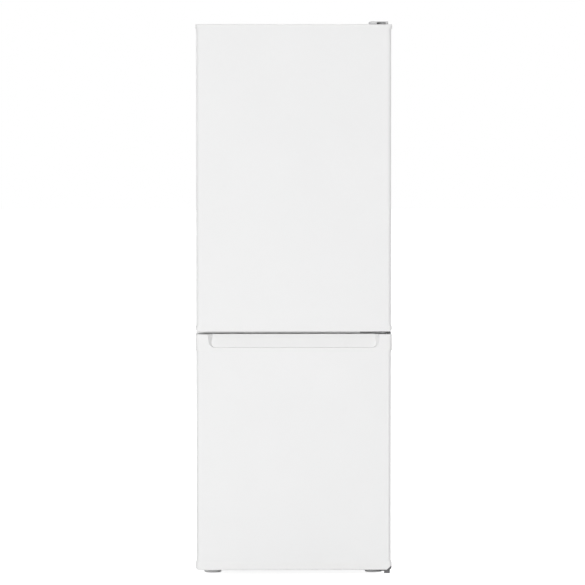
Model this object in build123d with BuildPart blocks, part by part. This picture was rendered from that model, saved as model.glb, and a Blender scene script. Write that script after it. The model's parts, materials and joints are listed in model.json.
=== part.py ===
from build123d import *
import os

# Free-standing fridge freezer in millimetres: +Z up, the front faces -Y.
# The origin is on the floor under the middle of the appliance.

# Overall envelope
overall_width = 540.0
overall_depth = 575.0
overall_height = 1524.0

# Sheets, moulded walls and clearances
steel_sheet = 0.8
sheet_bend = 3.0
liner_wall = 2.0
liner_corner = 14.0
moulded_wall = 2.5
glide_gap = 0.3
running_gap = 0.05

# Doors
door_thickness = 50.0
door_edge_radius = 9.0
door_floor_gap = 14.0
freezer_door_height = 651.0
door_gap = 7.0
hinge_head_room = 8.0
gasket_gap = 12.0
skin_inset = 2.5
skin_setback = 1.0
fridge_top_cap_height = 12.0
fridge_bottom_cap_height = 15.0
grip_cap_height = 45.0
freezer_bottom_cap_height = 22.0
cap_wall = 3.0
cap_rim = 5.0
cap_edge_radius = 2.0
cap_corner_radius = 9.0

# Grip recess in the freezer door's top cap
grip_top_inset = 30.0
grip_bottom_inset = 37.0
grip_height = 37.0
grip_depth = 18.0
grip_floor_depth = 6.0
grip_side_wall = 14.0
grip_floor_rise = 2.0
grip_corner = 18.0
grip_corner_draft = 6.0

# Door liners and gaskets
door_liner_margin = 8.0
rim_width = 18.0
rim_corner = 12.0
rim_pocket_floor = 15.5
fridge_rim_clearance = 12.0
fridge_rim_depth = 35.0
freezer_rim_clearance = 11.5
freezer_rim_depth = 27.0
gasket_inset = 25.0
gasket_width = 14.0
gasket_reach = 18.0

# Hinges
hinge_inset = 24.5
hinge_plate = 3.0
hinge_lift = 1.5
hinge_seat_depth = 4.0
pin_radius = 4.0
pin_length = 12.0
pin_boss_radius = 9.0
hinge_arm_half = 11.0
hinge_flange_width = 46.0
hinge_flange_offset = 15.5
bracket_lip_reach = 20.0
bracket_lip_drop = 6.0
cover_wall = 2.0
cover_width = 50.0
cover_reach = 60.0
cover_side_gap = 1.0
cover_window_width = 24.0
cover_window_shift = 5.5
screw_head_radius = 4.5
screw_head_height = 2.2
screw_shank_radius = 2.0

# Cabinet shell
cabinet_side_inset = 2.0
condenser_space = 33.0
cabinet_floor_gap = 34.0
door_overhang = 4.0
top_panel_height = 12.0
front_flange = 42.0
rear_flange = 20.0
base_plate = 2.0
bay_depth = 200.0
bay_height = 199.0
foam_over_bay = 45.0

# Compartments
fridge_side_wall = 43.0
fridge_back_wall = 60.0
freezer_side_wall = 63.0
freezer_back_wall = 65.0
door_lap = 32.0
roof_wall = 38.0
floor_wall = 46.0
liner_flange = 28.0
liner_flange_inset = 6.0

# Fridge shelves and crisper
crisper_bay_height = 205.0
shelf_pitch = 170.0
shelf_glass = 4.0
shelf_ledge_width = 8.0
shelf_ledge_height = 6.0
shelf_front_setback = 104.0
shelf_trim_depth = 14.0
shelf_trim_wall = 3.0
crisper_side_gap = 23.0
crisper_height = 180.0
crisper_front_setback = 108.0
crisper_back_gap = 47.0
crisper_guide_height = 40.0

# Control housing, knob, lamp and light switch
control_width = 240.0
control_depth = 200.0
control_height = 30.0
control_setback = 40.5
knob_radius = 13.0
knob_length = 11.0
knob_offset = -60.0
spindle_radius = 3.0
switch_radius = 4.0
switch_offset = 70.0
switch_travel = 6.0
lamp_length = 90.0
lamp_width = 46.0
lamp_depth = 10.0

# Door bins
bin_ear = 10.0
bin_side_gap = 1.0
bin_reach = 89.0
bin_lug_height = 16.0
bin_lug_depth = 8.0
bottle_bin_rise = 33.0
middle_bin_shift = 8.5
upper_bin_drop = 247.0
bottle_bin_height = 105.0
small_bin_height = 80.0

# Freezer evaporator shelves and drawers
evaporator_plate = 1.5
evaporator_tube_radius = 3.5
evaporator_runs = 6
first_shelf_rise = 10.0
drawer_bay_height = 177.0
drawer_side_gap = 6.0
drawer_front_setback = 34.0
drawer_front_wall = 10.0
drawer_head_room = 15.0
drawer_corner = 10.0
pull_width = 160.0
pull_height = 26.0

# Cooling circuit at the rear
condenser_tube_radius = 2.5
condenser_inset = 53.0
condenser_bottom = 300.0
condenser_top_gap = 136.0
condenser_passes = 15
condenser_wire_radius = 0.8
condenser_wire_pitch = 15.0
bracket_width = 26.0
bracket_height = 20.0
compressor_length = 205.0
compressor_width = 150.0
compressor_height = 148.0
compressor_offset = 75.0
mount_height = 16.0
mount_radius = 13.0
pan_length = 170.0
pan_width = 150.0
pan_height = 26.0
drain_radius = 7.0
drain_wall = 1.5
drain_rise = 45.0
pipe_radius = 3.0
pipe_bend = 12.0
drier_radius = 9.0
drier_length = 90.0

# Feet, rollers and wall spacers
foot_pad_radius = 24.0
foot_pad_height = 9.0
foot_stem_radius = 5.0
foot_stem_length = 42.0
foot_side_inset = 45.0
foot_setback = 30.0
foot_boss_radius = 13.0
foot_boss_height = 14.0
roller_radius = 20.0
roller_width = 22.0
roller_side_inset = 53.0
roller_inset = 36.0
axle_radius = 4.0
fork_wall = 3.0
spacer_radius = 14.0
spacer_side_inset = 88.0
spacer_drop = 90.0

# Reference planes of the cabinet and the doors
half_width = overall_width / 2
front_y = -overall_depth / 2
rear_y = overall_depth / 2
door_back_y = front_y + door_thickness
cabinet_front_y = door_back_y + gasket_gap
cabinet_back_y = rear_y - condenser_space
cabinet_half = half_width - cabinet_side_inset
inner_half = cabinet_half - steel_sheet
liner_front_y = cabinet_front_y + steel_sheet
foam_front_y = liner_front_y + liner_wall
foam_back_y = cabinet_back_y - steel_sheet
hinge_x = half_width - hinge_inset
hinge_y = front_y + door_thickness / 2
foot_offset = cabinet_half - foot_side_inset
foot_y = cabinet_front_y + foot_setback
roller_offset = cabinet_half - roller_side_inset
spacer_offset = cabinet_half - spacer_side_inset
condenser_half = cabinet_half - condenser_inset
liner_flange_half = cabinet_half - liner_flange_inset
gasket_half = cabinet_half - gasket_inset

# Heights of the doors and the shell
freezer_door_low = door_floor_gap
freezer_door_high = freezer_door_low + freezer_door_height
fridge_door_low = freezer_door_high + door_gap
fridge_door_high = overall_height - hinge_head_room
cabinet_top = fridge_door_high - door_overhang
shell_top = cabinet_top - top_panel_height
base_top = cabinet_floor_gap + base_plate

# Compartment limits
fridge_half = cabinet_half - fridge_side_wall
fridge_low = fridge_door_low + door_lap
fridge_high = shell_top - roof_wall
fridge_back_y = cabinet_back_y - fridge_back_wall
freezer_half = cabinet_half - freezer_side_wall
freezer_low = cabinet_floor_gap + floor_wall
freezer_high = freezer_door_high - door_lap
freezer_back_y = cabinet_back_y - freezer_back_wall
bay_front_y = cabinet_back_y - bay_depth
bay_high = base_top + bay_height
step_y = bay_front_y - foam_over_bay
step_z = bay_high + foam_over_bay
crisper_half = fridge_half - crisper_side_gap
drawer_half = freezer_half - drawer_side_gap

# Limits of the top hinge's cover, and the lowered seat in the cabinet's top that they stand on
cover_right = hinge_x + hinge_arm_half + cover_wall + cover_side_gap
cover_left = cover_right - cover_width
cover_front_y = hinge_y - hinge_arm_half - cover_wall - glide_gap
cover_back_y = cabinet_front_y + cover_reach
hinge_seat_z = cabinet_top - hinge_seat_depth


def front_plane(y):
    """Plane parallel to the front at depth y: its normal faces the user and its local axes are X and Z."""
    return Plane.XZ.offset(-y)


def block(x_span, y_span, z_span, mode=Mode.ADD):
    """Add or cut a box that fills three (low, high) spans."""
    spans = (x_span, y_span, z_span)
    middle = [(low + high) / 2 for low, high in spans]
    size = [high - low for low, high in spans]
    with Locations(tuple(middle)):
        Box(*size, mode=mode)


def both_ways(half):
    """Span that reaches as far to the left as to the right."""
    return (-half, half)


def rounded_prism(half, z_span, y_span, corner, mode=Mode.ADD):
    """Add or cut a prism along Y with rounded corners in the front view, centred on X."""
    low, high = z_span
    with BuildSketch(front_plane(y_span[0])) as outline:
        with Locations((0, (low + high) / 2)):
            RectangleRounded(2 * half, high - low, corner)
    extrude(outline.sketch, amount=-(y_span[1] - y_span[0]), mode=mode)


def pin_cylinder(radius, z_span, x=None, y=None, mode=Mode.ADD):
    """Add or cut an upright cylinder, on the hinge axis unless a place is given."""
    place = (hinge_x if x is None else x, hinge_y if y is None else y, (z_span[0] + z_span[1]) / 2)
    with Locations(place):
        Cylinder(radius, z_span[1] - z_span[0], mode=mode)


# Cabinet shell
with BuildPart() as left_side_panel:
    with BuildSketch(Plane.XY.offset(cabinet_floor_gap)):
        with BuildLine():
            FilletPolyline(
                (-cabinet_half + front_flange, cabinet_front_y),
                (-cabinet_half, cabinet_front_y),
                (-cabinet_half, cabinet_back_y),
                (-cabinet_half + rear_flange, cabinet_back_y),
                radius=sheet_bend,
            )
            offset(amount=steel_sheet, side=Side.RIGHT)
        make_face()
    extrude(amount=shell_top - cabinet_floor_gap)

with BuildPart() as right_side_panel:
    mirror(left_side_panel.part, about=Plane.YZ)

with BuildPart() as top_panel:
    block(both_ways(cabinet_half), (cabinet_front_y, cabinet_back_y + steel_sheet), (shell_top, cabinet_top))
    fillet(top_panel.edges().filter_by(Axis.Z), radius=sheet_bend)
    fillet(top_panel.faces().sort_by(Axis.Z)[-1].edges(), radius=cap_edge_radius)
    block(
        both_ways(cabinet_half - cap_rim),
        (cabinet_front_y + cap_rim, cabinet_back_y + steel_sheet - cap_rim),
        (shell_top, cabinet_top - cap_wall),
        mode=Mode.SUBTRACT,
    )
    seat_x = (cover_left - cover_side_gap, cabinet_half)
    seat_y = (cabinet_front_y, cover_back_y + cover_side_gap)
    rim_x = (seat_x[0] - cap_wall, cabinet_half - cap_rim)
    rim_y = (cabinet_front_y + cap_rim, seat_y[1] + cap_wall)
    block(rim_x, rim_y, (shell_top, cabinet_top - cap_wall))
    block(seat_x, seat_y, (hinge_seat_z, cabinet_top), mode=Mode.SUBTRACT)

with BuildPart() as back_panel:
    back_depth = (cabinet_back_y, cabinet_back_y + steel_sheet)
    block(both_ways(cabinet_half - sheet_bend), back_depth, (bay_high, shell_top))

# The rails carry the gaskets' magnets above and below the openings, the mullion carries them between the doors
mullion_low = freezer_high + liner_wall
mullion_high = fridge_low - liner_wall
rail_half = cabinet_half - front_flange
rail_depth = (cabinet_front_y, liner_front_y)

with BuildPart() as front_rails:
    block(both_ways(rail_half), rail_depth, (fridge_high + liner_wall, shell_top))
    block(both_ways(rail_half), rail_depth, (cabinet_floor_gap, freezer_low - liner_wall))

with BuildPart() as mullion:
    block(both_ways(rail_half), rail_depth, (mullion_low, mullion_high))


def fridge_core(growth):
    """Solid that fills the fridge compartment, grown outwards by a wall thickness."""
    with BuildPart() as core:
        rounded_prism(
            fridge_half + growth,
            (fridge_low - growth, fridge_high + growth),
            (liner_front_y, fridge_back_y + growth),
            liner_corner + growth,
        )
    return core.part


def freezer_core(growth):
    """Solid that fills the freezer compartment, stepped over the compressor bay, grown by a wall thickness."""
    with BuildPart() as core:
        with BuildSketch(Plane.YZ):
            with BuildLine():
                Polyline(
                    (liner_front_y, freezer_low - growth),
                    (step_y + growth, freezer_low - growth),
                    (step_y + growth, step_z - growth),
                    (freezer_back_y + growth, step_z - growth),
                    (freezer_back_y + growth, freezer_high + growth),
                    (liner_front_y, freezer_high + growth),
                    close=True,
                )
            make_face()
        extrude(amount=freezer_half + growth, both=True)
        fillet(core.edges().filter_by(Axis.Y).group_by(Axis.Z)[0], radius=liner_corner + growth)
        fillet(core.edges().filter_by(Axis.Y).group_by(Axis.Z)[-1], radius=liner_corner + growth)
    return core.part


# Levels of everything that stands in the fridge compartment
shelf_levels = [fridge_low + crisper_bay_height + step * shelf_pitch for step in range(3)]
shelf_front_y = cabinet_front_y + shelf_front_setback
crisper_front_y = cabinet_front_y + crisper_front_setback
crisper_back_y = fridge_back_y - crisper_back_gap
ledge_back_y = fridge_back_y + liner_wall / 2

with BuildPart() as fridge_furniture:
    for side in (-1, 1):
        for level in shelf_levels:
            ledge = sorted((side * (fridge_half - shelf_ledge_width), side * (fridge_half + liner_wall / 2)))
            block(ledge, (shelf_front_y, ledge_back_y), (level - shelf_ledge_height, level))
        guide = sorted((side * (crisper_half + glide_gap), side * (fridge_half + liner_wall / 2)))
        guide_span = (fridge_low - liner_wall / 2, fridge_low + crisper_guide_height)
        block(guide, (crisper_front_y, ledge_back_y), guide_span)
    add(fridge_core(liner_wall / 2), mode=Mode.INTERSECT)

with BuildPart() as fridge_liner:
    rounded_prism(
        liner_flange_half,
        (fridge_low - liner_flange, fridge_high + liner_flange),
        (liner_front_y, foam_front_y),
        liner_corner,
    )
    add(fridge_core(liner_wall))
    add(fridge_core(0), mode=Mode.SUBTRACT)
    add(fridge_furniture.part)

first_shelf_z = step_z + first_shelf_rise
second_shelf_z = first_shelf_z + drawer_bay_height
evaporator_drop = evaporator_plate + 2 * evaporator_tube_radius - evaporator_plate / 2
evaporator_front_y = cabinet_front_y + drawer_front_setback

with BuildPart() as freezer_liner:
    rounded_prism(
        liner_flange_half,
        (freezer_low - liner_flange, freezer_high + liner_flange),
        (liner_front_y, foam_front_y),
        liner_corner,
    )
    add(freezer_core(liner_wall))
    add(freezer_core(0), mode=Mode.SUBTRACT)
    for side in (-1, 1):
        for level in (first_shelf_z, second_shelf_z):
            ledge = sorted((side * (freezer_half - shelf_ledge_width), side * (freezer_half + liner_wall / 2)))
            ledge_high = level - evaporator_plate
            ledge_depth = (evaporator_front_y, freezer_back_y + liner_wall / 2)
            block(ledge, ledge_depth, (ledge_high - shelf_ledge_height, ledge_high))

# Drain from the foot of the fridge's back wall down to the pan over the compressor
compressor_y = bay_front_y + bay_depth / 2 + moulded_wall
compressor_low = base_top + mount_height
compressor_high = compressor_low + compressor_height
drain_y = (freezer_back_y + liner_wall + foam_back_y) / 2
drain_z = fridge_low + drain_rise
drain_end_z = compressor_high + pan_height / 2


def drain_run(radius):
    """Solid along the drain's route."""
    with BuildPart() as run:
        with BuildLine() as route:
            FilletPolyline(
                (compressor_offset, fridge_back_y + liner_wall, drain_z),
                (compressor_offset, drain_y, drain_z),
                (compressor_offset, drain_y, drain_end_z),
                radius=drain_radius + pipe_bend,
            )
        with BuildSketch(front_plane(fridge_back_y + liner_wall)):
            with Locations((compressor_offset, drain_z)):
                Circle(radius)
        sweep(path=route.line)
    return run.part


with BuildPart() as drain_tube:
    add(drain_run(drain_radius))
    add(drain_run(drain_radius - drain_wall), mode=Mode.SUBTRACT)

with BuildPart() as compressor_bay_panel:
    with BuildSketch(Plane.YZ):
        with BuildLine():
            FilletPolyline(
                (bay_front_y, base_top),
                (bay_front_y, bay_high),
                (foam_back_y, bay_high),
                radius=sheet_bend,
            )
            offset(amount=steel_sheet, side=Side.LEFT)
        make_face()
    extrude(amount=inner_half - sheet_bend, both=True)
    add(drain_run(drain_radius), mode=Mode.SUBTRACT)

# Roll-bond evaporator foamed in behind the fridge's back wall
cold_plate_half = fridge_half - 3 * rim_width
cold_plate_span = (shelf_levels[0], fridge_high - 3 * rim_width)
cold_plate_depth = (fridge_back_y + liner_wall, fridge_back_y + liner_wall + evaporator_plate)

with BuildPart() as fridge_evaporator:
    rounded_prism(cold_plate_half, cold_plate_span, cold_plate_depth, rim_corner)

with BuildPart() as cabinet_foam:
    with BuildSketch(Plane.XY.offset(base_top)):
        with Locations((0, (foam_front_y + foam_back_y) / 2)):
            RectangleRounded(2 * inner_half, foam_back_y - foam_front_y, sheet_bend)
    extrude(amount=shell_top - base_top)
    block(
        both_ways(cabinet_half),
        (bay_front_y - steel_sheet, cabinet_back_y),
        (cabinet_floor_gap, bay_high + steel_sheet),
        mode=Mode.SUBTRACT,
    )
    add(fridge_core(liner_wall), mode=Mode.SUBTRACT)
    add(freezer_core(liner_wall), mode=Mode.SUBTRACT)
    add(drain_run(drain_radius), mode=Mode.SUBTRACT)
    add(fridge_evaporator.part, mode=Mode.SUBTRACT)
    for side in (-1, 1):
        well = (base_top, foot_pad_height + foot_stem_length + glide_gap)
        pin_cylinder(foot_stem_radius + liner_wall, well, side * foot_offset, foot_y, mode=Mode.SUBTRACT)

# Base frame: a plate under the cabinet with bosses for the front feet and forks for the rear rollers
roller_y = cabinet_back_y - roller_inset
fork_half = roller_width / 2 + glide_gap
fork_low = roller_radius - 2 * axle_radius

with BuildPart() as base_frame:
    with BuildSketch(Plane.XY.offset(cabinet_floor_gap)):
        with Locations((0, (foam_front_y + foam_back_y) / 2)):
            RectangleRounded(2 * inner_half, foam_back_y - foam_front_y, sheet_bend)
    extrude(amount=base_plate)
    for side in (-1, 1):
        boss_span = (cabinet_floor_gap - foot_boss_height, cabinet_floor_gap)
        pin_cylinder(foot_boss_radius, boss_span, side * foot_offset, foot_y)
        well = (boss_span[0], base_top)
        pin_cylinder(foot_stem_radius + running_gap, well, side * foot_offset, foot_y, mode=Mode.SUBTRACT)
        for cheek in (-1, 1):
            inner_face = side * roller_offset + cheek * fork_half
            outer_face = inner_face + cheek * fork_wall
            fork_span = sorted((inner_face, outer_face))
            fork_depth = (roller_y - 3 * axle_radius, roller_y + 3 * axle_radius)
            block(fork_span, fork_depth, (fork_low, cabinet_floor_gap))
        with Locations(Location((side * roller_offset, roller_y, roller_radius), (0, 90, 0))):
            Cylinder(axle_radius, 2 * (fork_half + fork_wall))
        arch_depth = (roller_y - roller_radius - fork_wall, roller_y + roller_radius + fork_wall)
        arch_width = (side * roller_offset - fork_half, side * roller_offset + fork_half)
        block(arch_width, arch_depth, (cabinet_floor_gap, base_top), mode=Mode.SUBTRACT)


def build_roller(side):
    """Rear transport roller that runs on its axle in the base frame's fork."""
    with BuildPart() as roller:
        with Locations(Location((side * roller_offset, roller_y, roller_radius), (0, 90, 0))):
            Cylinder(roller_radius, roller_width)
            Cylinder(axle_radius + running_gap, roller_width, mode=Mode.SUBTRACT)
        fillet(roller.edges().filter_by(GeomType.CIRCLE).group_by(SortBy.RADIUS)[-1], radius=cap_edge_radius)
    return roller.part


def build_foot(side):
    """Levelling foot: a wide pad under a stem that screws up into the base frame's boss."""
    with BuildPart() as foot:
        pin_cylinder(foot_pad_radius, (0, foot_pad_height), side * foot_offset, foot_y)
        chamfer(foot.faces().sort_by(Axis.Z)[-1].edges(), length=cap_wall)
        stem_span = (foot_pad_height, foot_pad_height + foot_stem_length)
        pin_cylinder(foot_stem_radius, stem_span, side * foot_offset, foot_y)
    return foot.part


left_roller = build_roller(-1)
right_roller = build_roller(1)
left_foot = build_foot(-1)
right_foot = build_foot(1)


def tube_along(points, bend, radius):
    """Add a round tube along straight runs joined by tangent arcs."""
    with BuildLine() as route:
        FilletPolyline(*points, radius=bend)
    with BuildSketch(Plane(origin=route.line @ 0, z_dir=route.line % 0)) as section:
        Circle(radius)
    sweep(section.sketch, path=route.line)


def build_tub(half, y_span, z_span, front_wall=moulded_wall):
    """Open-topped tub with rounded upright and lower edges, whose front wall can be thicker than the others."""
    with BuildPart() as cavity:
        cavity_depth = (y_span[0] + front_wall, y_span[1] - moulded_wall)
        block(both_ways(half - moulded_wall), cavity_depth, (z_span[0] + moulded_wall, z_span[1] + moulded_wall))
        fillet(cavity.edges().filter_by(Axis.Z), radius=drawer_corner - moulded_wall)
        fillet(cavity.faces().sort_by(Axis.Z)[0].edges(), radius=drawer_corner - 2 * moulded_wall)
    with BuildPart() as tub:
        block(both_ways(half), y_span, z_span)
        fillet(tub.edges().filter_by(Axis.Z), radius=drawer_corner)
        fillet(tub.faces().sort_by(Axis.Z)[0].edges(), radius=drawer_corner - moulded_wall)
        add(cavity.part, mode=Mode.SUBTRACT)
    return tub.part


# Glass shelves on the liner's ledges, each with a moulded trim along its front and back edges
glass_half = fridge_half - glide_gap
glass_depth = (shelf_front_y + shelf_trim_wall, fridge_back_y - shelf_trim_depth)
trim_half = fridge_half - shelf_ledge_width - glide_gap


def build_shelf(level):
    """Glass plate that rests on the ledges at one level."""
    with BuildPart() as shelf:
        block(both_ways(glass_half), glass_depth, (level, level + shelf_glass))
        fillet(shelf.edges().filter_by(Axis.Z), radius=shelf_trim_wall)
    return shelf.part


crisper_cover, lower_shelf, upper_shelf = [build_shelf(level) for level in shelf_levels]

with BuildPart() as shelf_trims:
    for level in shelf_levels:
        trim_height = (level - shelf_trim_wall, level + shelf_glass + shelf_trim_wall)
        block(both_ways(trim_half), (shelf_front_y, shelf_front_y + shelf_trim_depth), trim_height)
        rear_height = (level - shelf_trim_wall, level + shelf_glass + shelf_trim_depth)
        rear_depth = (glass_depth[1] - shelf_trim_depth, glass_depth[1] + shelf_trim_wall)
        block(both_ways(trim_half), rear_depth, rear_height)
        block(both_ways(trim_half), glass_depth, (level, level + shelf_glass), mode=Mode.SUBTRACT)

# Crisper drawer on the fridge floor, between the liner's guides
crisper_low = fridge_low + glide_gap

with BuildPart() as crisper_drawer:
    add(build_tub(crisper_half, (crisper_front_y, crisper_back_y), (crisper_low, crisper_low + crisper_height)))
    with BuildSketch(front_plane(crisper_front_y)):
        with Locations((0, crisper_low + crisper_height)):
            SlotOverall(pull_width, 2 * pull_height)
    extrude(amount=-moulded_wall, mode=Mode.SUBTRACT)

# Control housing under the ceiling, with the lamp, the thermostat knob and the light switch
control_front_y = cabinet_front_y + control_setback
control_low = fridge_high - control_height
control_axis_z = fridge_high - fridge_rim_clearance - rim_width / 2
lamp_y = control_front_y + control_depth / 2
spindle_length = knob_length
rim_back_y = door_back_y + fridge_rim_depth
switch_front_y = rim_back_y + glide_gap
switch_back_y = control_front_y + 3 * switch_travel


def cylinder_along_y(radius, x, y_span, z, mode=Mode.ADD):
    """Add or cut a cylinder that lies along Y."""
    with Locations(Location((x, (y_span[0] + y_span[1]) / 2, z), (90, 0, 0))):
        Cylinder(radius, y_span[1] - y_span[0], mode=mode)


lamp_low = control_low + cap_wall

with BuildPart() as control_housing:
    control_span = (control_front_y, control_front_y + control_depth)
    block(both_ways(control_width / 2), control_span, (control_low, fridge_high))
    fillet(control_housing.edges().filter_by(Axis.Z), radius=rim_corner)
    fillet(control_housing.faces().sort_by(Axis.Z)[0].edges(), radius=cap_wall)
    lamp_depth_span = (lamp_y - lamp_width / 2, lamp_y + lamp_width / 2)
    block(both_ways(lamp_length / 2), lamp_depth_span, (control_low, control_low + lamp_depth), mode=Mode.SUBTRACT)
    spindle_well = (control_front_y, control_front_y + spindle_length + glide_gap)
    cylinder_along_y(spindle_radius + running_gap, knob_offset, spindle_well, control_axis_z, mode=Mode.SUBTRACT)
    switch_well = (control_front_y, switch_back_y + glide_gap)
    cylinder_along_y(switch_radius + running_gap, switch_offset, switch_well, control_axis_z, mode=Mode.SUBTRACT)

with BuildPart() as lamp_cover:
    block(both_ways(lamp_length / 2), lamp_depth_span, (control_low, lamp_low))

with BuildPart() as lamp:
    lamp_board = (lamp_y - lamp_width / 4, lamp_y + lamp_width / 4)
    board_low = control_low + lamp_depth - base_plate
    block(both_ways(lamp_length / 2 - cap_rim), lamp_board, (board_low, control_low + lamp_depth))
    with Locations((0, lamp_y, board_low)):
        with GridLocations(lamp_width / 2, lamp_width / 4, 3, 1):
            Box(cap_rim, cap_rim, base_plate, align=(Align.CENTER, Align.CENTER, Align.MAX))

with BuildPart() as thermostat_knob:
    knob_span = (control_front_y - glide_gap - knob_length, control_front_y - glide_gap)
    cylinder_along_y(knob_radius, knob_offset, knob_span, control_axis_z)
    fillet(thermostat_knob.faces().sort_by(Axis.Y)[0].edges(), radius=cap_edge_radius)
    pointer = (knob_offset - cap_edge_radius / 2, knob_offset + cap_edge_radius / 2)
    pointer_height = (control_axis_z + knob_radius / 3, control_axis_z + knob_radius)
    block(pointer, (knob_span[0], knob_span[0] + cap_edge_radius / 2), pointer_height, mode=Mode.SUBTRACT)
    cylinder_along_y(spindle_radius, knob_offset, (knob_span[1], knob_span[1] + spindle_length), control_axis_z)

with BuildPart() as light_switch_plunger:
    cylinder_along_y(switch_radius, switch_offset, (switch_front_y, switch_back_y), control_axis_z)
    fillet(light_switch_plunger.faces().sort_by(Axis.Y)[0].edges(), radius=cap_edge_radius)

# Freezer: plate evaporators that are also shelves, and three drawers
evaporator_back_y = freezer_back_y - cap_rim

with BuildPart() as evaporator_shelves:
    for level in (first_shelf_z, second_shelf_z):
        plate_depth = (evaporator_front_y + cap_rim, evaporator_back_y)
        block(both_ways(freezer_half - glide_gap), plate_depth, (level - evaporator_plate, level))
        tube_z = level - evaporator_drop + evaporator_tube_radius
        run_half = freezer_half - 2 * shelf_ledge_width - evaporator_tube_radius
        run_pitch = (plate_depth[1] - plate_depth[0] - 2 * rim_width) / (evaporator_runs - 1)
        serpentine = []
        for run in range(evaporator_runs):
            run_y = plate_depth[0] + rim_width + run * run_pitch
            turn = 1 if run % 2 else -1
            serpentine += [(turn * run_half, run_y, tube_z), (-turn * run_half, run_y, tube_z)]
        tube_along(serpentine, run_pitch / 2 - evaporator_tube_radius, evaporator_tube_radius)


def build_freezer_drawer(floor, ceiling, back):
    """Freezer drawer that fills a bay: a tub whose thick front wall has a finger slot."""
    low = floor + glide_gap
    high = ceiling - drawer_head_room
    with BuildPart() as drawer:
        add(build_tub(drawer_half, (evaporator_front_y, back), (low, high), drawer_front_wall))
        with BuildSketch(front_plane(evaporator_front_y)) as slot:
            with Locations((0, high - pull_height)):
                SlotOverall(pull_width, pull_height)
        extrude(slot.sketch, amount=-(drawer_front_wall - moulded_wall), mode=Mode.SUBTRACT)
    return drawer.part


deep_drawer_back = freezer_back_y - 2 * rim_corner
short_drawer_back = step_y - rim_corner
bottom_drawer = build_freezer_drawer(freezer_low, first_shelf_z, short_drawer_back)
middle_drawer = build_freezer_drawer(first_shelf_z, second_shelf_z, deep_drawer_back)
top_drawer = build_freezer_drawer(second_shelf_z, freezer_high, deep_drawer_back)


def door_block(inset, setback, corner, z_span, back_y=door_back_y, mode=Mode.ADD):
    """Add or cut a slice of the door's plan: square at the back, rounded at the two front corners."""
    plan_half = half_width - inset
    plan_front = front_y + setback
    with BuildSketch(Plane.XY.offset(z_span[0])) as plan:
        with Locations((0, (plan_front + back_y) / 2)):
            Rectangle(2 * plan_half, back_y - plan_front)
        fillet(plan.vertices().group_by(Axis.Y)[0], radius=corner)
    extrude(plan.sketch, amount=z_span[1] - z_span[0], mode=mode)


def cap_filling(z_span):
    """Foam that fills the pocket of a door cap."""
    with BuildPart() as filling:
        door_block(cap_rim, cap_rim, door_edge_radius - cap_rim, z_span, back_y=door_back_y - cap_wall)
    return filling.part


def grip_void(growth):
    """Space of the grip recess, open to the front and to the top, grown by a wall thickness.

    Its back wall leans, so the recess is deepest at the door's top edge.
    """
    low = freezer_door_high - grip_height
    high = freezer_door_high + grip_height
    floor_y = front_y + grip_floor_depth + growth
    lean = grip_depth - grip_floor_depth
    steps = ((front_y - grip_depth, -1), (front_y + grip_depth + growth, 1))
    with BuildPart() as void:
        for depth, inwards in steps:
            side = inwards * grip_side_wall
            floor = low - growth + inwards * grip_floor_rise
            top_half = half_width - grip_top_inset - side + growth
            bottom_half = half_width - grip_bottom_inset - side + growth
            with BuildSketch(front_plane(depth)):
                with BuildLine():
                    Polyline(
                        (-bottom_half, floor),
                        (bottom_half, floor),
                        (top_half, high),
                        (-top_half, high),
                        close=True,
                    )
                make_face()
                fillet(vertices().group_by(Axis.Y)[0], radius=grip_corner - inwards * grip_corner_draft)
        loft()
        with BuildSketch(Plane.YZ):
            with BuildLine():
                Polyline(
                    (front_y - 2 * grip_depth, low - grip_height),
                    (floor_y - lean, low - grip_height),
                    (floor_y + 2 * lean, high),
                    (front_y - 2 * grip_depth, high),
                    close=True,
                )
            make_face()
        extrude(amount=half_width, both=True, mode=Mode.INTERSECT)
    return void.part


# Every cap is a moulded tray: a floor that faces out of the door, a rim around it and a boss for the hinge pin
bore_depth = pin_length + glide_gap


def build_cap(z_span, faces_up, filling, grip=None):
    """Door cap between two heights, hollow towards the foam, with its hinge bore in the outer face.

    A cap that faces down has rounded lower corners in the front view.
    """
    low, high = z_span
    with BuildPart() as cap:
        door_block(0, 0, door_edge_radius, z_span)
        outer_face = cap.faces().sort_by(Axis.Z)[-1 if faces_up else 0]
        fillet(outer_face.edges(), radius=cap_edge_radius)
        if not faces_up:
            corner_span = (low, high + 2 * cap_corner_radius)
            door_depth = (front_y, door_back_y)
            rounded_prism(half_width, corner_span, door_depth, cap_corner_radius, mode=Mode.INTERSECT)
        add(filling, mode=Mode.SUBTRACT)
        boss_span = (high - bore_depth - cap_wall, high) if faces_up else (low, low + bore_depth + cap_wall)
        boss_span = (max(boss_span[0], low), min(boss_span[1], high))
        pin_cylinder(pin_boss_radius, boss_span)
        if grip is not None:
            add(grip, mode=Mode.SUBTRACT)
        bore_span = (high - bore_depth, high) if faces_up else (low, low + bore_depth)
        pin_cylinder(pin_radius + running_gap, bore_span, mode=Mode.SUBTRACT)
    return cap.part


def build_skin(z_span):
    """Folded steel door skin: front face and both sides in one sheet."""
    skin_half = half_width - skin_inset
    skin_front = front_y + skin_setback
    with BuildPart() as skin:
        with BuildSketch(Plane.XY.offset(z_span[0])):
            with BuildLine():
                FilletPolyline(
                    (-skin_half, door_back_y),
                    (-skin_half, skin_front),
                    (skin_half, skin_front),
                    (skin_half, door_back_y),
                    radius=door_edge_radius,
                )
                offset(amount=steel_sheet, side=Side.LEFT)
            make_face()
        extrude(amount=z_span[1] - z_span[0])
    return skin.part


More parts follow.
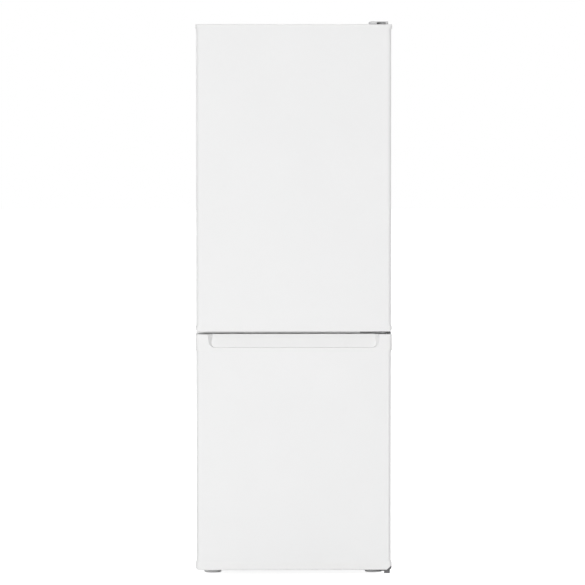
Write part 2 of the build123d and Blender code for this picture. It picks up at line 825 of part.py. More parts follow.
def rim_filling(half, z_span, depth):
    """Foam inside the raised rim of a door liner."""
    low, high = z_span
    wall = liner_wall
    with BuildPart() as filling:
        rim_depth_span = (door_back_y, door_back_y + depth - wall)
        rounded_prism(half - wall, (low + wall, high - wall), rim_depth_span, rim_corner - wall)
        pocket_depth = (door_back_y + rim_pocket_floor - wall, door_back_y + depth)
        inner = rim_width - wall
        rounded_prism(
            half - inner, (low + inner, high - inner), pocket_depth, rim_corner, mode=Mode.SUBTRACT
        )
    return filling.part


def build_door_liner(door_span, half, z_span, depth):
    """Thermoformed door liner: a flange over the door's back and a raised rim around a shallow pocket."""
    low, high = z_span
    with BuildPart() as liner:
        flange_half = half_width - door_liner_margin / 2
        flange_span = (door_span[0] + door_liner_margin, door_span[1] - door_liner_margin)
        rounded_prism(flange_half, flange_span, (door_back_y, door_back_y + liner_wall), door_liner_margin)
        rounded_prism(half, z_span, (door_back_y, door_back_y + depth), rim_corner)
        pocket_span = (low + rim_width, high - rim_width)
        pocket_depth = (door_back_y + rim_pocket_floor, door_back_y + depth)
        rounded_prism(half - rim_width, pocket_span, pocket_depth, rim_corner - liner_wall, mode=Mode.SUBTRACT)
        add(rim_filling(half, z_span, depth), mode=Mode.SUBTRACT)
    return liner.part


def build_gasket(z_span):
    """Magnetic gasket that stands on the door liner and meets the cabinet's front."""
    low, high = (z_span[0] - gasket_reach, z_span[1] + gasket_reach)
    gasket_depth = (door_back_y + liner_wall, cabinet_front_y - glide_gap)
    with BuildPart() as gasket:
        rounded_prism(gasket_half, (low, high), gasket_depth, rim_corner)
        inner_span = (low + gasket_width, high - gasket_width)
        rounded_prism(gasket_half - gasket_width, inner_span, gasket_depth, liner_wall, mode=Mode.SUBTRACT)
    return gasket.part


def build_door_foam(skin_span, fillings, bosses):
    """Foam between the skin, the caps and the liner."""
    foam_inset = skin_inset + steel_sheet
    with BuildPart() as foam:
        door_block(foam_inset, skin_setback + steel_sheet, door_edge_radius - steel_sheet, skin_span)
        for filling in fillings:
            add(filling)
        for boss in bosses:
            pin_cylinder(pin_boss_radius, boss, mode=Mode.SUBTRACT)
    return foam.part


# Fridge door
fridge_skin_span = (fridge_door_low + fridge_bottom_cap_height, fridge_door_high - fridge_top_cap_height)
fridge_top_filling = cap_filling((fridge_skin_span[1], fridge_door_high - cap_wall))
fridge_bottom_filling = cap_filling((fridge_door_low + cap_wall, fridge_skin_span[0]))
fridge_rim_half = fridge_half - fridge_rim_clearance
fridge_rim_span = (fridge_low + fridge_rim_clearance, fridge_high - fridge_rim_clearance)
fridge_door_skin = build_skin(fridge_skin_span)
fridge_door_top_cap = build_cap((fridge_skin_span[1], fridge_door_high), True, fridge_top_filling)
fridge_door_bottom_cap = build_cap((fridge_door_low, fridge_skin_span[0]), False, fridge_bottom_filling)
fridge_door_gasket = build_gasket((fridge_low, fridge_high))
fridge_door_foam = build_door_foam(
    fridge_skin_span,
    (fridge_top_filling, fridge_bottom_filling, rim_filling(fridge_rim_half, fridge_rim_span, fridge_rim_depth)),
    ((fridge_skin_span[1], fridge_door_high), (fridge_door_low, fridge_skin_span[0])),
)

# Door bins hang on lugs on the inside of the liner's rim
bottle_bin_level = fridge_low + bottle_bin_rise
upper_bin_level = fridge_high - upper_bin_drop
middle_bin_level = (bottle_bin_level + upper_bin_level) / 2 + middle_bin_shift
bin_levels = (bottle_bin_level, middle_bin_level, upper_bin_level)
bin_front_y = door_back_y + rim_pocket_floor + glide_gap
bin_rim_half = fridge_rim_half - rim_width
bin_half = bin_rim_half - bin_ear - bin_side_gap
lug_y = (bin_front_y + rim_back_y) / 2
lug_rise = 2 * bin_lug_height
ear_half = bin_half + bin_ear

with BuildPart() as fridge_door_liner:
    add(build_door_liner((fridge_door_low, fridge_door_high), fridge_rim_half, fridge_rim_span, fridge_rim_depth))
    for level in bin_levels:
        for side in (-1, 1):
            lug = sorted((side * (bin_half + moulded_wall), side * (bin_rim_half + liner_wall / 2)))
            lug_depth = (lug_y - bin_lug_depth / 2, lug_y + bin_lug_depth / 2)
            block(lug, lug_depth, (level + lug_rise, level + lug_rise + bin_lug_height))


def build_bin(level, height):
    """Door bin: a tub with a slotted ear on each side that drops over the liner's lugs."""
    ear_high = level + lug_rise + bin_lug_height
    with BuildPart() as door_bin:
        add(build_tub(bin_half, (bin_front_y, bin_front_y + bin_reach), (level, level + height)))
        for side in (-1, 1):
            ear = sorted((side * (bin_half - moulded_wall / 2), side * ear_half))
            ear_depth = (lug_y - bin_lug_depth, lug_y + bin_lug_depth)
            block(ear, ear_depth, (ear_high - bin_lug_height / 2, ear_high + cap_wall))
            slot = sorted((side * (bin_half + moulded_wall - glide_gap), side * (ear_half + glide_gap)))
            slot_depth = (lug_y - bin_lug_depth / 2 - glide_gap, lug_y + bin_lug_depth / 2 + glide_gap)
            block(slot, slot_depth, (ear_high - bin_lug_height, ear_high), mode=Mode.SUBTRACT)
    return door_bin.part


bottle_bin = build_bin(bottle_bin_level, bottle_bin_height)
middle_bin = build_bin(middle_bin_level, small_bin_height)
upper_bin = build_bin(upper_bin_level, small_bin_height)

# Freezer door
freezer_skin_span = (freezer_door_low + freezer_bottom_cap_height, freezer_door_high - grip_cap_height)
freezer_bottom_filling = cap_filling((freezer_door_low + cap_wall, freezer_skin_span[0]))
freezer_rim_half = freezer_half - freezer_rim_clearance
freezer_rim_span = (freezer_low + freezer_rim_clearance, freezer_high - freezer_rim_clearance)

with BuildPart() as grip_cap_filling:
    add(cap_filling((freezer_skin_span[1], freezer_door_high - cap_wall)))
    add(grip_void(cap_wall), mode=Mode.SUBTRACT)

freezer_door_skin = build_skin(freezer_skin_span)
freezer_door_grip_cap = build_cap(
    (freezer_skin_span[1], freezer_door_high), True, grip_cap_filling.part, grip=grip_void(0)
)
freezer_door_bottom_cap = build_cap((freezer_door_low, freezer_skin_span[0]), False, freezer_bottom_filling)
freezer_door_gasket = build_gasket((freezer_low, freezer_high))
freezer_door_liner = build_door_liner(
    (freezer_door_low, freezer_door_high), freezer_rim_half, freezer_rim_span, freezer_rim_depth
)
freezer_door_foam = build_door_foam(
    freezer_skin_span,
    (
        grip_cap_filling.part,
        freezer_bottom_filling,
        rim_filling(freezer_rim_half, freezer_rim_span, freezer_rim_depth),
    ),
    (
        (freezer_door_high - bore_depth - cap_wall, freezer_door_high),
        (freezer_door_low, freezer_door_low + bore_depth + cap_wall),
    ),
)

# Hinges: each has an arm that reaches forward to the hinge axis, and a flange or foot screwed to the cabinet
flange_right = hinge_x - hinge_flange_offset
flange_left = flange_right - hinge_flange_width
flange_middle = (flange_left + flange_right) / 2
flange_depth = (cabinet_front_y - hinge_plate, cabinet_front_y)
screw_spread = hinge_flange_width / 2 - 2 * screw_head_radius


def hinge_arm(foot_x, foot_y_span, z_span):
    """Add a flat arm between a foot on the cabinet and a round eye on the hinge axis."""
    with BuildSketch(Plane.XY.offset(z_span[0])) as arm:
        with Locations(((foot_x[0] + foot_x[1]) / 2, (foot_y_span[0] + foot_y_span[1]) / 2)):
            Rectangle(foot_x[1] - foot_x[0], foot_y_span[1] - foot_y_span[0])
        with Locations((hinge_x, hinge_y)):
            Circle(hinge_arm_half)
        make_hull()
    extrude(arm.sketch, amount=z_span[1] - z_span[0])


def screw_along_y(x, z):
    """Add a screw whose head lies on the front of a hinge flange."""
    cylinder_along_y(screw_shank_radius, x, flange_depth, z)
    cylinder_along_y(screw_head_radius, x, (flange_depth[0] - screw_head_height, flange_depth[0]), z)


# Middle hinge, in the gap between the doors, with a pin up and a pin down
mid_arm_z = (freezer_door_high + fridge_door_low) / 2
mid_arm = (mid_arm_z - hinge_plate / 2, mid_arm_z + hinge_plate / 2)
mid_flange = (freezer_high + gasket_reach + liner_wall, fridge_low - gasket_reach - liner_wall)
mid_screw_rise = (mid_flange[1] - mid_flange[0]) / 4
mid_screws = [
    (flange_middle + across * screw_spread, mid_arm_z + up * (mid_screw_rise + hinge_plate / 2))
    for across in (-1, 1)
    for up in (-1, 1)
]
pin_overlap = pin_length - glide_gap

with BuildPart() as mid_hinge:
    block((flange_left, flange_right), flange_depth, mid_flange)
    hinge_arm((flange_left, flange_right), flange_depth, mid_arm)
    pin_cylinder(pin_radius, (freezer_door_high - pin_overlap, fridge_door_low + pin_overlap))
    for x, z in mid_screws:
        cylinder_along_y(screw_shank_radius, x, flange_depth, z, mode=Mode.SUBTRACT)

# Bottom hinge, under the freezer door
bottom_arm_high = freezer_door_low - hinge_lift
bottom_arm = (bottom_arm_high - hinge_plate, bottom_arm_high)
bottom_flange = (bottom_arm[0], freezer_low - gasket_reach - liner_wall)
bottom_screw_z = (cabinet_floor_gap + bottom_flange[1]) / 2
bottom_screws = [(flange_middle + across * screw_spread, bottom_screw_z) for across in (-1, 0, 1)]

with BuildPart() as bottom_hinge:
    block((flange_left, flange_right), flange_depth, bottom_flange)
    hinge_arm((flange_left, flange_right), flange_depth, bottom_arm)
    lip_right = hinge_x + bracket_lip_reach
    arm_front_y = hinge_y - hinge_arm_half
    block((hinge_x, lip_right), (arm_front_y, hinge_y + hinge_arm_half), bottom_arm)
    lip_span = (bottom_arm[0] - bracket_lip_drop, bottom_arm[1])
    block((hinge_x + pin_radius, lip_right), (arm_front_y, arm_front_y + hinge_plate), lip_span)
    pin_cylinder(pin_radius, (bottom_arm_high, freezer_door_low + pin_overlap))
    for x, z in bottom_screws:
        cylinder_along_y(screw_shank_radius, x, flange_depth, z, mode=Mode.SUBTRACT)

# Top hinge, on the cabinet's top and over the fridge door, under its moulded cover
top_foot_x = (cover_left + 2 * cover_wall, cover_right - 2 * cover_wall)
top_foot_y = (cabinet_front_y + 2 * cover_wall, cover_back_y - 2 * cover_wall)
top_foot = (hinge_seat_z, hinge_seat_z + hinge_plate)
top_riser_y = (top_foot_y[0], top_foot_y[0] + hinge_plate)
top_arm = (fridge_door_high + hinge_lift, fridge_door_high + hinge_lift + hinge_plate)
top_screw_inset = 2 * screw_head_radius
top_screws = [
    (top_foot_x[0] + top_screw_inset, top_foot_y[1] - top_screw_inset),
    (top_foot_x[1] - top_screw_inset, top_foot_y[1] - top_screw_inset),
    ((top_foot_x[0] + top_foot_x[1]) / 2, top_riser_y[1] + top_screw_inset),
]

with BuildPart() as top_hinge:
    block(top_foot_x, top_foot_y, top_foot)
    block(top_foot_x, top_riser_y, (hinge_seat_z, top_arm[1]))
    hinge_arm(top_foot_x, top_riser_y, top_arm)
    pin_cylinder(pin_radius, (fridge_door_high - pin_overlap, top_arm[0]))
    for x, y in top_screws:
        pin_cylinder(screw_shank_radius, top_foot, x, y, mode=Mode.SUBTRACT)

with BuildPart() as top_hinge_cover:
    cover_x = (cover_left, cover_right)
    cover_low = fridge_door_high + cover_side_gap
    block(cover_x, (cover_front_y, cover_back_y), (cover_low, overall_height))
    block(cover_x, (cabinet_front_y + cover_wall, cover_back_y), (hinge_seat_z, overall_height))
    fillet(top_hinge_cover.edges().filter_by(Axis.Z), radius=cap_rim)
    fillet(top_hinge_cover.faces().sort_by(Axis.Z)[-1].edges(), radius=cap_edge_radius)
    block(
        (cover_left + cover_wall, cover_right - cover_wall),
        (cover_front_y + cover_wall, cover_back_y - cover_wall),
        (hinge_seat_z, overall_height - cover_wall),
        mode=Mode.SUBTRACT,
    )
    window_middle = hinge_x - cover_window_shift
    window_x = (window_middle - cover_window_width / 2, window_middle + cover_window_width / 2)
    window_y = (cover_front_y, cover_front_y + cover_wall)
    block(window_x, window_y, (cover_low, top_arm[1] + cover_side_gap), mode=Mode.SUBTRACT)

with BuildPart() as hinge_screws:
    for x, z in mid_screws + bottom_screws:
        screw_along_y(x, z)
    for x, y in top_screws:
        pin_cylinder(screw_shank_radius, top_foot, x, y)
        pin_cylinder(screw_head_radius, (top_foot[1], top_foot[1] + screw_head_height), x, y)

# Wire-on-tube condenser on the back, held off it by brackets
condenser_front_y = cabinet_back_y + steel_sheet
condenser_y = (condenser_front_y + rear_y) / 2
condenser_top = shell_top - condenser_top_gap
condenser_pitch = (condenser_top - condenser_bottom) / (condenser_passes - 1)
condenser_end_z = bay_high - foam_over_bay
riser_x = condenser_half + 2 * drier_radius

with BuildPart() as condenser_tube:
    route_points = [(-condenser_half, condenser_y, condenser_end_z)]
    for run in range(condenser_passes):
        run_z = condenser_bottom + run * condenser_pitch
        turn = 1 if run % 2 else -1
        run_end = -turn * condenser_half if run < condenser_passes - 1 else riser_x
        route_points += [(turn * condenser_half, condenser_y, run_z), (run_end, condenser_y, run_z)]
    route_points += [(riser_x, condenser_y, condenser_end_z)]
    tube_along(route_points, condenser_pitch / 2 - condenser_tube_radius, condenser_tube_radius)

wire_reach = condenser_tube_radius + condenser_wire_radius + running_gap
wire_ends = (condenser_bottom - rim_width, condenser_top + rim_width)
wire_count = int(2 * (condenser_half - condenser_pitch / 2) / condenser_wire_pitch) + 1

with BuildPart() as condenser_wires:
    with Locations((0, condenser_y, (wire_ends[0] + wire_ends[1]) / 2)):
        with GridLocations(condenser_wire_pitch, 2 * wire_reach, wire_count, 2):
            Cylinder(condenser_wire_radius, wire_ends[1] - wire_ends[0])

with BuildPart() as condenser_brackets:
    bracket_x = condenser_half - condenser_pitch / 2 + bracket_width
    for side in (-1, 1):
        for level in (condenser_bottom, condenser_top):
            bracket_span = (side * bracket_x - bracket_width / 2, side * bracket_x + bracket_width / 2)
            bracket_depth = (condenser_front_y, condenser_y - condenser_tube_radius - running_gap)
            block(bracket_span, bracket_depth, (level - bracket_height / 2, level + bracket_height / 2))

# Compressor on rubber mounts in its bay, with the relay cover at its side and the evaporation pan on top
with BuildPart() as compressor:
    with BuildSketch(Plane.XY.offset(compressor_low)):
        with Locations((compressor_offset, compressor_y)):
            RectangleRounded(compressor_length, compressor_width, compressor_width / 2 - rim_width)
    extrude(amount=compressor_height)
    fillet(compressor.faces().sort_by(Axis.Z)[-1].edges(), radius=compressor_width / 4)
    fillet(compressor.faces().sort_by(Axis.Z)[0].edges(), radius=compressor_width / 6)
    seam_z = compressor_low + compressor_height * 2 / 3
    with BuildSketch(Plane.XY.offset(seam_z)):
        with Locations((compressor_offset, compressor_y)):
            RectangleRounded(
                compressor_length + 2 * cap_wall,
                compressor_width + 2 * cap_wall,
                compressor_width / 2 - rim_width + cap_wall,
            )
    extrude(amount=cap_rim)
    with BuildSketch(Plane.XY.offset(compressor_low)):
        with Locations((compressor_offset, compressor_y)):
            RectangleRounded(compressor_length, compressor_width - 2 * rim_width, rim_width)
    extrude(amount=hinge_plate)

mount_pitch_x = compressor_length - 2 * mount_radius
mount_pitch_y = compressor_width - 2 * rim_width - 2 * mount_radius

with BuildPart() as compressor_mounts:
    with Locations((compressor_offset, compressor_y, base_top)):
        with GridLocations(mount_pitch_x, mount_pitch_y, 2, 2):
            Cylinder(mount_radius, mount_height, align=(Align.CENTER, Align.CENTER, Align.MIN))

relay_left = compressor_offset + compressor_length / 2
relay_high = seam_z - cap_rim
relay_low = compressor_low + compressor_width / 6
relay_half_depth = compressor_width / 4
inlet_radius = mount_radius / 2

with BuildPart() as relay_cover:
    relay_x = (relay_left, relay_left + 2 * rim_width)
    block(relay_x, (compressor_y - relay_half_depth, compressor_y + relay_half_depth), (relay_low, relay_high))
    fillet(relay_cover.faces().sort_by(Axis.X)[-1].edges(), radius=cap_rim)
    inlet_x = relay_left + rim_width
    inlet_z = (relay_low + relay_high) / 2
    inlet_span = (compressor_y + relay_half_depth - cap_wall, compressor_y + relay_half_depth + rim_corner)
    cylinder_along_y(inlet_radius, inlet_x, inlet_span, inlet_z)
    cylinder_along_y(inlet_radius - moulded_wall, inlet_x, inlet_span, inlet_z, mode=Mode.SUBTRACT)

pan_y = compressor_y + rim_corner
pan_low = compressor_high

with BuildPart() as evaporation_pan:
    with Locations((compressor_offset, pan_y, pan_low + pan_height / 2)):
        Box(pan_length, pan_width, pan_height)
    fillet(evaporation_pan.edges().filter_by(Axis.Z), radius=drawer_corner)
    offset(amount=-moulded_wall, openings=evaporation_pan.faces().sort_by(Axis.Z)[-1])

# Brazed pipework: discharge to the condenser's riser, outlet to the drier, capillary and suction line
pipe_z = condenser_end_z - 2 * foam_over_bay
compressor_rear_y = compressor_y + compressor_width / 2
compressor_face_y = compressor_y - compressor_width / 2
pipe_step_y = (compressor_rear_y + condenser_y) / 2
drier_y = compressor_y
drier_low = pipe_z - drier_radius
suction_y = (bay_front_y + compressor_face_y) / 2

with BuildPart() as refrigerant_pipes:
    discharge = [
        (compressor_offset, compressor_rear_y, pipe_z),
        (compressor_offset, pipe_step_y, pipe_z),
        (riser_x, pipe_step_y, pipe_z),
        (riser_x, condenser_y, pipe_z),
        (riser_x, condenser_y, condenser_end_z),
    ]
    tube_along(discharge, (condenser_y - pipe_step_y) / 2 - pipe_radius / 2, pipe_radius)
    outlet = [
        (-condenser_half, condenser_y, condenser_end_z),
        (-condenser_half, condenser_y, drier_low - pipe_bend),
        (-condenser_half, drier_y, drier_low - pipe_bend),
        (-condenser_half, drier_y, drier_low + drier_length),
    ]
    tube_along(outlet, pipe_bend, pipe_radius)
    pin_cylinder(drier_radius, (drier_low + pipe_bend, drier_low + drier_length), -condenser_half, drier_y)
    pin_cylinder(pipe_radius / 2, (drier_low + drier_length, bay_high), -condenser_half, drier_y)
    suction = [
        (compressor_offset, compressor_face_y, pipe_z),
        (compressor_offset, suction_y, pipe_z),
        (compressor_offset, suction_y, bay_high),
    ]
    tube_along(suction, (compressor_face_y - suction_y) / 2, pipe_radius)

# Spacers that keep the cabinet's back away from the wall
with BuildPart() as wall_spacers:
    for side in (-1, 1):
        cylinder_along_y(spacer_radius, side * spacer_offset, (condenser_front_y, rear_y), shell_top - spacer_drop)

pieces = {
    "left_side_panel": left_side_panel.part,
    "right_side_panel": right_side_panel.part,
    "top_panel": top_panel.part,
    "back_panel": back_panel.part,
    "compressor_bay_panel": compressor_bay_panel.part,
    "base_frame": base_frame.part,
    "front_rails": front_rails.part,
    "mullion": mullion.part,
    "fridge_liner": fridge_liner.part,
    "freezer_liner": freezer_liner.part,
    "cabinet_foam": cabinet_foam.part,
    "control_housing": control_housing.part,
    "thermostat_knob": thermostat_knob.part,
    "lamp": lamp.part,
    "lamp_cover": lamp_cover.part,
    "light_switch_plunger": light_switch_plunger.part,
    "upper_shelf": upper_shelf,
    "lower_shelf": lower_shelf,
    "crisper_cover": crisper_cover,
    "shelf_trims": shelf_trims.part,
    "crisper_drawer": crisper_drawer.part,
    "evaporator_shelves": evaporator_shelves.part,
    "top_freezer_drawer": top_drawer,
    "middle_freezer_drawer": middle_drawer,
    "bottom_freezer_drawer": bottom_drawer,
    "fridge_evaporator": fridge_evaporator.part,
    "drain_tube": drain_tube.part,
    "condenser_tube": condenser_tube.part,
    "condenser_wires": condenser_wires.part,
    "condenser_brackets": condenser_brackets.part,
    "compressor": compressor.part,
    "compressor_mounts": compressor_mounts.part,
    "relay_cover": relay_cover.part,
    "evaporation_pan": evaporation_pan.part,
    "refrigerant_pipes": refrigerant_pipes.part,
    "wall_spacers": wall_spacers.part,
    "left_roller": left_roller,
    "right_roller": right_roller,
    "left_foot": left_foot,
    "right_foot": right_foot,
    "top_hinge": top_hinge.part,
    "top_hinge_cover": top_hinge_cover.part,
    "mid_hinge": mid_hinge.part,
    "bottom_hinge": bottom_hinge.part,
    "hinge_screws": hinge_screws.part,
    "fridge_door_skin": fridge_door_skin,
    "fridge_door_top_cap": fridge_door_top_cap,
    "fridge_door_bottom_cap": fridge_door_bottom_cap,
    "fridge_door_liner": fridge_door_liner.part,
    "fridge_door_foam": fridge_door_foam,
    "fridge_door_gasket": fridge_door_gasket,
    "upper_bin": upper_bin,
    "middle_bin": middle_bin,
    "bottle_bin": bottle_bin,
    "freezer_door_skin": freezer_door_skin,
    "freezer_door_grip_cap": freezer_door_grip_cap,
    "freezer_door_bottom_cap": freezer_door_bottom_cap,
    "freezer_door_liner": freezer_door_liner,
    "freezer_door_foam": freezer_door_foam,
    "freezer_door_gasket": freezer_door_gasket,
}

os.makedirs("parts", exist_ok=True)
for name, piece in pieces.items():
    piece.label = name
    export_step(piece, f"parts/{name}.step")
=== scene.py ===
"""Looks of a white free-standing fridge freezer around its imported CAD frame, in metres."""

import json
import logging
import math
from dataclasses import dataclass
from enum import Enum
from typing import Iterable, Sequence

import bmesh
import bpy
from mathutils import Matrix, Vector

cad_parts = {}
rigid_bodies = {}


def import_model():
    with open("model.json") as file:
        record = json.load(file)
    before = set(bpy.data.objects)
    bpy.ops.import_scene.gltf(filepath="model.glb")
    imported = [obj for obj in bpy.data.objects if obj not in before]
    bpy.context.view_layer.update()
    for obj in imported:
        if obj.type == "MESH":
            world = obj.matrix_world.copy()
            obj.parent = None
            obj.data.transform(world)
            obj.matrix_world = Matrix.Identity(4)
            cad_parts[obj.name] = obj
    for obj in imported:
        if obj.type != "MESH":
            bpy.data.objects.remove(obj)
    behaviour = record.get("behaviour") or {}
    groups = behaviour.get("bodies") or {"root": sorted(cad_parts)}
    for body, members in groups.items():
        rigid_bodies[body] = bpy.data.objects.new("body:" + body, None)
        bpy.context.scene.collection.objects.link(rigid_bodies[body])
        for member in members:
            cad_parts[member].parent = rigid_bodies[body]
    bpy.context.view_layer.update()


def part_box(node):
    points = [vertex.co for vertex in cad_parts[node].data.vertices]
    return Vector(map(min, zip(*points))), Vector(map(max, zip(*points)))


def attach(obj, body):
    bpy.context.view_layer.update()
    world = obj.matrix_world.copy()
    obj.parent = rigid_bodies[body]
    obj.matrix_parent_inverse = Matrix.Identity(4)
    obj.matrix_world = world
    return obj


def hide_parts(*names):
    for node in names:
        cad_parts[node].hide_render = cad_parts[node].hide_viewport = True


LOG = logging.getLogger("fridge_freezer")
MERGE_DISTANCE = 0.000005
WELD_DISTANCE = 0.00001

Colour = tuple[float, float, float]
Point = tuple[float, float, float]
Span = tuple[float, float]
Place = Sequence[float]
Outline = tuple[Span, ...]
Socket = bpy.types.NodeSocket
Shape = bmesh.types.BMesh
Verts = list[bmesh.types.BMVert]
Faces = list[bmesh.types.BMFace]

WHITE: Colour = (1.0, 1.0, 1.0)


class Hand(Enum):
    """Side of the appliance as the user sees it from the front."""

    LEFT = -1
    RIGHT = 1


class Pattern(Enum):
    """Kind of procedural pattern that breaks up a surface, as its node and output."""

    CLOUD = ("ShaderNodeTexNoise", "Fac")
    CELL = ("ShaderNodeTexVoronoi", "Distance")
    SPANGLE = ("ShaderNodeTexVoronoi", "Color")


class Axle(Enum):
    """Axis that a turned piece stands along, as the turn that lays it down from +Z."""

    UP = Matrix.Identity(4)
    FORWARD = Matrix.Rotation(math.radians(90), 4, "X")
    BACKWARD = Matrix.Rotation(math.radians(-90), 4, "X")
    ACROSS = Matrix.Rotation(math.radians(90), 4, "Y")


@dataclass(frozen=True)
class Texture:
    """A procedural pattern on a surface.

    Attributes:
        scale: Repeats per metre.
        detail: Octaves of the pattern.
        stretch: Factors of the scale along X, Y and Z.
        kind: Which pattern.
    """

    scale: float
    detail: float = 2.0
    stretch: Point = (1.0, 1.0, 1.0)
    kind: Pattern = Pattern.CLOUD


class Shader:
    """A node material under construction, on Object coordinates."""

    def __init__(self, name: str) -> None:
        """Start a plain Principled material of that name."""
        self.material = bpy.data.materials.new(name)
        self.material.use_nodes = True
        self.nodes = self.material.node_tree.nodes
        self.links = self.material.node_tree.links
        self.surface = next(node for node in self.nodes if node.type == "BSDF_PRINCIPLED")
        self.place = self.nodes.new("ShaderNodeTexCoord").outputs["Object"]

    def set(self, **values: float | Colour) -> None:
        """Set constant values on the Principled shader.

        Args:
            values: Socket names with underscores for spaces, and their values.
        """
        for name, value in values.items():
            socket = self.surface.inputs[name.replace("_", " ")]
            socket.default_value = (*value, 1.0) if isinstance(value, tuple) else value

    def feed(self, output: Socket, name: str) -> None:
        """Link an output to a socket of the Principled shader, by the socket's name."""
        self.links.new(output, self.surface.inputs[name])

    def pattern(self, texture: Texture) -> Socket:
        """Add a procedural pattern, and return its grey value."""
        kind, output = texture.kind.value
        mapping, node = self.nodes.new("ShaderNodeMapping"), self.nodes.new(kind)
        mapping.inputs["Scale"].default_value = texture.stretch
        node.inputs["Scale"].default_value = texture.scale
        node.inputs["Detail"].default_value = texture.detail
        self.links.new(self.place, mapping.inputs["Vector"])
        self.links.new(mapping.outputs["Vector"], node.inputs["Vector"])
        return node.outputs[output]

    def spread(self, value: Socket, source: Span, target: Span) -> Socket:
        """Return a grey value mapped from the source range to the target range."""
        node = self.nodes.new("ShaderNodeMapRange")
        node.inputs["From Min"].default_value, node.inputs["From Max"].default_value = source
        node.inputs["To Min"].default_value, node.inputs["To Max"].default_value = target
        self.links.new(value, node.inputs["Value"])
        return node.outputs["Result"]

    def tint(self, value: Socket, low: Colour, high: Colour) -> Socket:
        """Return the blend of two colours by a grey value, with low at 0 and high at 1."""
        ramp = self.nodes.new("ShaderNodeValToRGB")
        ramp.color_ramp.elements[0].color = (*low, 1.0)
        ramp.color_ramp.elements[1].color = (*high, 1.0)
        self.links.new(value, ramp.inputs["Fac"])
        return ramp.outputs["Color"]

    def relief(self, height: Socket, depth: float, strength: float) -> None:
        """Add a bump to the surface, on top of any bump already there.

        Args:
            height: Grey value that gives the height.
            depth: Height of the bump in metres.
            strength: Share of the bump that shows.
        """
        bump = self.nodes.new("ShaderNodeBump")
        bump.inputs["Strength"].default_value = strength
        bump.inputs["Distance"].default_value = depth
        self.links.new(height, bump.inputs["Height"])
        normal = self.surface.inputs["Normal"]
        if normal.is_linked:
            self.links.new(normal.links[0].from_socket, bump.inputs["Normal"])
        self.links.new(bump.outputs["Normal"], normal)

    def part(self, vector: Socket, letter: str) -> Socket:
        """Return the X, Y or Z part of a vector."""
        parts = self.nodes.new("ShaderNodeSeparateXYZ")
        self.links.new(vector, parts.inputs["Vector"])
        return parts.outputs[letter]

    def product(self, first: Socket, second: Socket) -> Socket:
        """Return two grey values multiplied, kept between 0 and 1."""
        node = self.nodes.new("ShaderNodeMath")
        node.operation = "MULTIPLY"
        node.use_clamp = True
        self.links.new(first, node.inputs[0])
        self.links.new(second, node.inputs[1])
        return node.outputs["Value"]


@dataclass(frozen=True)
class Finish:
    """A surface finish, made into a material once.

    Attributes:
        name: Name of the material.
        colour: Main colour.
        shade: Colour that the main one drifts to.
        roughness: Lowest and highest roughness.
        drift: Pattern of the colour's drift.
        gloss: Pattern of the roughness, or None for the drift's.
        gloss_range: Values of that pattern with the lowest and the highest roughness.
        grain: Pattern of the relief, or None for the gloss's.
        depth: Height of the relief in metres.
        strength: Share of the relief that shows.
        specular: Level of the reflection.
        metallic: Share of metal.
    """

    name: str
    colour: Colour
    shade: Colour
    roughness: Span
    drift: Texture = Texture(5.0)
    gloss: Texture | None = None
    gloss_range: Span = (0.3, 0.7)
    grain: Texture | None = None
    depth: float = 0.0001
    strength: float = 0.5
    specular: float = 0.5
    metallic: float = 0.0

    def material(self) -> bpy.types.Material:
        """Return the finish's material, which is made on first use."""
        found = bpy.data.materials.get(self.name)
        if found is None:
            shader = Shader(self.name)
            self.paint(shader)
            found = shader.material
        return found

    def paint(self, shader: Shader) -> None:
        """Add the finish's nodes to a new material."""
        drift = self.spots(shader)
        gloss = shader.pattern(self.gloss) if self.gloss else drift
        shader.feed(shader.tint(drift, self.colour, self.shade), "Base Color")
        shader.feed(shader.spread(gloss, self.gloss_range, self.roughness), "Roughness")
        shader.set(Specular_IOR_Level=self.specular, Metallic=self.metallic)
        grain = shader.pattern(self.grain) if self.grain else gloss
        shader.relief(grain, self.depth, self.strength)

    def spots(self, shader: Shader) -> Socket:
        """Return the grey value that blends the two colours."""
        return shader.pattern(self.drift)


@dataclass(frozen=True)
class PowderCoat(Finish):
    """Painted sheet steel with a slow drift of tint, a patchy gloss and a faint orange peel."""

    drift: Texture = Texture(1.7, 3.0)
    gloss: Texture | None = Texture(9.0, 4.0)
    grain: Texture | None = Texture(420.0)
    depth: float = 0.00008
    strength: float = 0.35
    specular: float = 0.35


@dataclass(frozen=True)
class Moulding(Finish):
    """Injection-moulded plastic with flow marks and a fine tool grain."""

    drift: Texture = Texture(5.0, 3.0, (0.4, 1.0, 1.0))
    gloss_range: Span = (0.25, 0.75)
    grain: Texture | None = Texture(1500.0, kind=Pattern.CELL)
    depth: float = 0.00005
    specular: float = 0.4


@dataclass(frozen=True)
class Liner(Moulding):
    """Thermoformed plastic, smoother than a moulding."""

    grain: Texture | None = Texture(700.0, kind=Pattern.CELL)
    depth: float = 0.00003


@dataclass(frozen=True)
class FlutedLiner(Liner):
    """Thermoformed liner whose back wall has shallow upright flutes.

    Attributes:
        flute_scale: Scale of the wave that gives flutes 24 mm apart.
        flute_depth: Depth of a flute in metres.
        wall: Depths between which the flutes fade in, in front of the back wall.
    """

    flute_scale: float = math.tau / (0.024 * 20.0)
    flute_depth: float = 0.0012
    wall: Span = (0.193, 0.1938)

    def paint(self, shader: Shader) -> None:
        """Add the flutes to the moulded finish."""
        super().paint(shader)
        wave = shader.nodes.new("ShaderNodeTexWave")
        wave.bands_direction = "X"
        wave.inputs["Scale"].default_value = self.flute_scale
        shader.links.new(shader.place, wave.inputs["Vector"])
        back = shader.spread(shader.part(shader.place, "Y"), self.wall, (0.0, 1.0))
        shader.relief(shader.product(wave.outputs["Fac"], back), self.flute_depth, strength=0.8)


